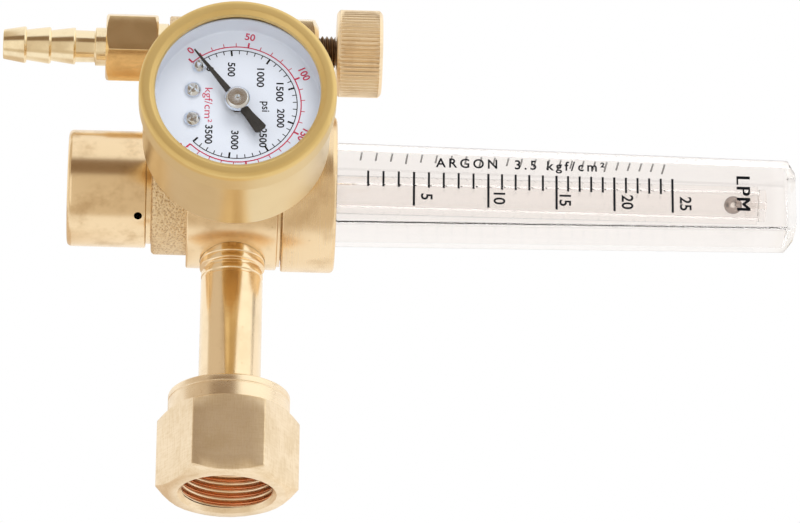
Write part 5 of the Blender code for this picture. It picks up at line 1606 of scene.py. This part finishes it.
@dataclass
class NeedleValve(Maker):
    """The gland nut, the threaded stem, the knurled knob and the hose barb."""

    across: float = 14.6
    gland_low: float = 11.5
    gland_high: float = 18.2
    stem_radius: float = 3.8
    stem_pitch: float = 1.0
    stem_depth: float = 0.62
    knob_low: float = 22.3
    knob_high: float = 32.5
    knob_radius: float = 9.8
    knurls: int = 62
    knurl_depth: float = 0.34
    knob_edge: float = 0.75
    collar_low: float = -17.7
    hexagon_low: float = -29.4
    ring_low: float = -31.8
    ridges: Triple = (-36.2, -41.7, -47.2)
    ridge_radius: float = 4.15
    tip: float = -52.4
    shank_radius: float = 5.6
    shank_length: float = 5.4
    hose_bore: float = 1.9

    def build(self) -> None:
        """Make every piece."""
        self.gland()
        self.stem()
        self.knob()
        self.barb()

    def chamfered_hexagon(self, low: float, high: float, face_low: float, face_high: float) -> np.ndarray:
        """Work out a hexagon whose corners are cut by a 30 degree cone at each end.

        Round the outline of radius R, each cone starts (R - face radius) tan 30 degrees from its end.

        Args:
            low: The lower end.
            high: The upper end.
            face_low: The radius where the lower cone starts.
            face_high: The radius where the upper cone starts.

        Returns:
            Rows of points, from the upper end to the lower one.
        """
        outline = Shape.hexagon(self.across, 0.25)
        reach = np.hypot(outline[:, 0], outline[:, 1])
        top = high - np.maximum(reach - face_high, 0.0) * CONE_SLOPE
        bottom = low + np.maximum(reach - face_low, 0.0) * CONE_SLOPE
        upper, lower = np.minimum(face_high, reach), np.minimum(face_low, reach)
        spots = [(upper - 0.1, high), (upper, high - 0.03)]
        spots += [(reach, top + (bottom - top) * s) for s in np.linspace(0.0, 1.0, 6)]
        spots += [(lower, low + 0.03), (lower - 0.1, low)]
        return np.stack([Shape.pushed(outline, radius, z) for radius, z in spots])

    def gland(self) -> None:
        """Make the gland nut: a hexagon with a deep front cone, and a bore for the stem."""
        rows = self.chamfered_hexagon(self.gland_low, self.gland_high, 7.2, 5.8)
        bore, end = self.stem_radius + CLEAR, self.gland_low - self.shank_length
        inside = [Shape.pushed(rows[0, :, :2], radius, z) for radius, z in (
            (self.shank_radius, self.gland_low), (self.shank_radius, end), (bore, end),
            (bore, self.gland_high - 0.3), (bore + 0.3, self.gland_high))]
        points = np.concatenate([rows, np.stack(inside)])
        obj = Sheet().grid(Heading.UP.carry(points, ON_VALVE), close=True).build("gland_milling", 24.0)
        self.finish(obj, "barb", "regulator", "turned_brass", ["gland_nut"])

    def stem(self) -> None:
        """Cut the stem's thread.

        The radius is the crest's less the depth times a rounded saw of (z / pitch - turn), both in whole
        turns; the plain parts above and below it end where the CAD's stem does.
        """
        low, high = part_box("needle_stem")
        bottom, top = low[2] / MM, high[2] / MM
        thread_low, thread_high = self.gland_low - 5.0, self.knob_low - CLEAR
        turn = Shape.circle(96)[None]
        z = np.linspace(thread_high, thread_low, 190)[:, None]
        saw = np.abs(((z / self.stem_pitch - turn / math.tau) % 1.0) * 2 - 1)
        depth = self.stem_depth * np.clip((saw - 0.1) / 0.8, 0.0, 1.0)
        thread = Shape.around(self.stem_radius - 0.02 - depth, turn, z)
        above = Shape.spun(np.array([(0.0, top), (2.8, top), (2.8, thread_high)]), 96)
        needle = np.array([(2.4, thread_low), (2.4, bottom + 2.4), (0.7, bottom), (0.0, bottom)])
        below = Shape.spun(needle, 96)
        points = np.concatenate([above, thread, below])
        obj = Sheet().grid(Heading.UP.carry(points, ON_VALVE)).build("threaded_stem", 60.0)
        self.finish(obj, "stem", "needle", "dark_brass", ["needle_stem"])

    def knob(self) -> None:
        """Knurl the knob.

        The radius is the knob's less the knurl's depth times a rounded saw of the turn, and the grooves
        fade out over the chamfer at each end.
        """
        sides = self.knurls * 8
        turn = Shape.circle(sides)[None]
        low, high, r, edge = self.knob_low, self.knob_high, self.knob_radius, self.knob_edge
        fall = high - 2.2
        z = np.concatenate([[high, high, high - 0.25, high - edge],
                            np.linspace(high - edge - 0.15, low + edge + 0.15, 10),
                            [low + edge, low + 0.25, low, low]])[:, None]
        ends = [3.0, r - edge - 0.1, r - 0.45, r]
        base = np.concatenate([ends, np.full(10, r), ends[::-1]])
        cut = np.concatenate([[0, 0, 0, 0.4], np.full(10, 1.0), [0.4, 0, 0, 0]])[:, None]
        saw = np.abs(((turn / math.tau * self.knurls) % 1.0) * 2 - 1)
        groove = np.clip((saw - 0.18) / 0.66, 0.0, 1.0)
        points = Shape.around(base[:, None] - self.knurl_depth * groove * cut, turn, z)
        crown = points[:1] * [0.0, 0.0, 1.0]
        bore = Shape.spun(np.array([(3.1, low + 0.2), (3.1, fall), (0.0, fall)]), sides)
        full = np.concatenate([crown, points, bore])
        obj = Sheet().grid(Heading.UP.carry(full, ON_VALVE)).build("knurled_knob", 30.0)
        self.finish(obj, "knob", "valve_knob", "turned_brass", ["knob"])

    def barb(self) -> None:
        """Turn the hose barb with its three ridges, and mill its hexagon."""
        bore, neck = self.hose_bore, self.hexagon_low + 1.0
        first, ridge = self.ridges[0], self.ridge_radius
        corners = [(bore, -7.3), (4.7, -7.3), (4.7, -15.5), (5.6, -15.5), (5.6, neck), (4.3, neck),
                   (4.3, self.ring_low), (3.55, self.ring_low), (3.62, first), (ridge - 0.1, first - 0.05),
                   (ridge, first - 0.4)]
        for z in self.ridges[1:]:
            corners += [(ridge - 0.7, z + 0.05), (ridge - 0.2, z - 0.05), (ridge, z - 0.4)]
        corners += [(3.3, self.tip), (bore, self.tip)]
        radii = (0.1, 0.1, 0.2, 0.1, 0.1, 0.3, 0.2, 0.1, 0.1, 0.15, 0.1, 0.1, 0.15, 0.1, 0.1, 0.15, 0.25)
        obj = self.ring("barb_turning", Shape.rounded(corners, radii, 4), Heading.UP, ON_VALVE)
        self.finish(obj, "barb", "regulator", "turned_brass", ["hose_barb"])
        rows = self.chamfered_hexagon(self.hexagon_low, self.collar_low, 7.0, 7.0)
        caps = [Shape.pushed(rows[0, :, :2], 5.0, z) for z in (self.hexagon_low, self.collar_low)]
        points = np.concatenate([rows, np.stack(caps)])
        obj = Sheet().grid(Heading.UP.carry(points, ON_VALVE), close=True).build("barb_hexagon", 24.0)
        self.finish(obj, "hexagon", "regulator", "turned_brass", ["hose_barb"])


@dataclass
class InnerWorks(Maker):
    """The pieces that are kept as the CAD has them: springs, seat, seals and the gauge's movement."""

    kept: tuple[tuple[str, tuple[str, ...]], ...] = (
        ("plain brass", ("adjusting_plug", "seat_nozzle", "passage_plug", "gauge_stem", "bourdon_tube",
                         "movement_back_plate", "movement_front_plate", "sector_gear", "pointer_shaft")),
        ("steel", ("spring_button", "regulating_spring", "diaphragm_plate", "poppet", "poppet_spring",
                   "gauge_link")),
        ("rubber", ("diaphragm", "cover_o_ring", "stem_seal")),
        ("filter", ("inlet_filter",)),
        ("seal", ("inlet_washer",)),
    )

    def build(self) -> None:
        """Give every kept CAD node its finish, and smooth its round faces."""
        for finish, nodes in self.kept:
            for node in nodes:
                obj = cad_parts[node]
                obj.data.materials.clear()
                obj.data.materials.append(self.palette.get(finish))
                smooth(obj.data)
                LOG.info("%s: kept, in %s", node, finish)


@dataclass(frozen=True)
class Zone:
    """One part of the light tent, by its colour, its turns and its levels.

    Turns and levels have four angles in degrees: where the zone begins, where it is full, where it begins
    to fade and where it ends.
    """

    colour: Triple
    turns: tuple[float, float, float, float]
    levels: tuple[float, float, float, float]

    def mask(self, turn: Value, level: Value) -> Value:
        """Tell where the zone is.

        Args:
            turn: A direction's turn.
            level: Its level.

        Returns:
            1 in the zone, 0 outside it and a smooth fade between them.
        """
        spans = ((turn, self.turns), (level, self.levels))
        across, along = (v.band(a, b) * (1 - v.band(c, d)) for v, (a, b, c, d) in spans)
        return across * along


@dataclass
class Studio:
    """The camera, the white background, the floor and the lamps."""

    camera_at: Triple = (0.44569, -1.07634, -0.00799)
    right: Triple = (-0.0080195, -0.045523, 0.998932)
    up: Triple = (-0.906255, -0.421895, -0.026502)
    back: Triple = (0.42265, -0.905499, -0.037872)
    lens: float = 242.18
    sensor: float = 36.0
    floor_z: float = -0.085
    floor_half: float = 0.5
    floor_fade: Pair = (0.16, 0.42)
    background: Triple = (1.0, 0.98, 0.95)
    zones: tuple[Zone, ...] = (
        Zone((0.68, 0.585, 0.46), (-62.0, -56.0, 50.0, 62.0), (-86.0, -74.0, 60.0, 75.0)),
        Zone((0.73, 0.61, 0.49), (86.0, 106.0, 180.0, 181.0), (-70.0, -50.0, -11.0, -4.0)),
        Zone((0.99, 0.93, 0.85), (86.0, 106.0, 180.0, 181.0), (5.0, 12.0, 50.0, 70.0)),
        Zone((1.0, 0.95, 0.86), (-34.0, -22.0, 28.0, 40.0), (-62.0, -50.0, -16.0, -6.0)),
        Zone((0.66, 0.56, 0.44), (-128.0, -112.0, -48.0, -36.0), (-76.0, -66.0, -20.0, -12.0)),
        Zone((1.12, 1.1, 1.02), (-140.0, -120.0, -44.0, -36.0), (15.0, 21.0, 60.0, 72.0)),
        Zone((0.25, 0.17, 0.105), (-64.0, -57.0, -32.0, -24.0), (-37.0, -29.0, 10.0, 17.0)),
    )
    lamp_list: tuple[tuple[str, Triple, float, float], ...] = (
        ("front lamp", (0.3, -1.15, 0.25), 0.6, 4.6),
        ("left lamp", (-0.7, -0.9, 0.1), 0.6, 4.0),
        ("top lamp", (0.0, 0.1, 1.2), 0.9, 6.0),
    )

    def build(self) -> None:
        """Set up everything round the regulator."""
        self.camera()
        self.surroundings()
        self.floor()
        self.lamps()
        bpy.context.scene.view_settings.view_transform = "Standard"

    def camera(self) -> None:
        """Stand the camera where the photograph was taken from, rolled so that the tube points right."""
        data = bpy.data.cameras.new("photo camera")
        data.lens, data.sensor_width, data.sensor_fit = self.lens, self.sensor, "HORIZONTAL"
        data.clip_start, data.clip_end = 0.01, 20.0
        camera = bpy.data.objects.new("photo camera", data)
        columns = Matrix((self.right, self.up, self.back)).transposed().to_4x4()
        camera.matrix_world = Matrix.Translation(self.camera_at) @ columns
        bpy.context.scene.collection.objects.link(camera)
        bpy.context.scene.camera = camera

    def surroundings(self) -> None:
        """Light the world as a light tent: white behind, warm grey in front, one dark band and one bright.

        The direction is split into the way down the photograph, across it and towards its camera. The turn
        about the across axis and the level along it say which zones a direction is in. The view itself is
        white, and what scatters or goes through glass gets a plain pale light.
        """
        world = bpy.data.worlds.new("light tent")
        bpy.context.scene.world = world
        world.use_nodes = True
        graph = Graph(world.node_tree)
        way = graph.node("TexCoord").outputs["Generated"]

        def along(axis: Triple) -> Value:
            """Return how far the direction goes along an axis."""
            dot = graph.node("VectorMath", {"operation": "DOT_PRODUCT"}, in0=way, in1=axis)
            return Value(graph, dot.outputs["Value"])

        down = along(tuple(-value for value in self.up))
        turn = graph.math("ARCTAN2", down, along(self.back)) * (180 / math.pi)
        level = graph.math("ARCSINE", along(self.right)) * (180 / math.pi)
        colour = self.background
        for zone in self.zones:
            colour = graph.blend(zone.mask(turn, level), colour, zone.colour)
        seen, through, scattered = graph.rays("Camera", "Transmission", "Diffuse")
        colour = graph.blend(through * 0.8, colour, (0.98, 0.975, 0.97))
        colour = graph.blend(scattered, colour, (0.93, 0.96, 1.0))
        colour = graph.blend(seen, colour, (1.0, 1.0, 1.0))
        graph.dress(world.node_tree.nodes["Background"], Color=colour, Strength=1.0)

    def floor(self) -> None:
        """Lay the pale floor below the regulator.

        Seen from below, in metal and through glass it lets the view through, and it fades out into the
        white round it.
        """
        half = self.floor_half / MM
        low, high = CAD_BOX
        centre = ((low[0] + high[0]) / 2, (low[1] + high[1]) / 2, 0.0)
        corners = np.array([(centre[0] / MM + x * half, centre[1] / MM + y * half, self.floor_z / MM)
                            for x, y in ((-1, -1), (1, -1), (1, 1), (-1, 1))])
        floor = Sheet().add(corners, [(0, 1, 2, 3)]).build("floor", facing=Facing.KEPT)
        material, graph, shader = Finish("floor white", (0.80, 0.80, 0.80), 0.9, 0.0).start()
        glossy, through = graph.rays("Glossy", "Transmission")
        x, y, _ = graph.axes(graph.place(at=centre))
        away = (x * x + y * y).square_root().band(*self.floor_fade)
        share = (graph.inner_side() + glossy + through + away).clamp()
        clear = graph.node("BsdfTransparent").outputs[0]
        mix = graph.node("MixShader", in0=share, in1=shader.outputs[0], in2=clear)
        graph.dress(material.node_tree.nodes["Material Output"], Surface=mix.outputs[0])
        floor.data.materials.append(material)

    def lamps(self) -> None:
        """Hang soft lamps that light the dial, the prints and the floor, and don't show in the metal."""
        for name, at, size, power in self.lamp_list:
            data = bpy.data.lights.new(name, "AREA")
            data.size, data.energy = size, power
            lamp = bpy.data.objects.new(name, data)
            aim = Vector((MAIN_X * MM, 0.0, 0.03)) - Vector(at)
            lamp.matrix_world = Matrix.Translation(at) @ aim.to_track_quat("-Z", "Y").to_matrix().to_4x4()
            lamp.visible_camera = False
            lamp.visible_glossy = False
            lamp.visible_transmission = False
            bpy.context.scene.collection.objects.link(lamp)


def main() -> None:
    """Build the regulator's looks and the studio round it."""
    logging.basicConfig(level=logging.INFO, format="%(name)s %(message)s")
    palette = Palette()
    for assembly in (Regulator, InletUnion, Gauge, FlowTube, NeedleValve, InnerWorks):
        assembly(palette).build()
    Studio().build()


if __name__ == "__main__":
    main()
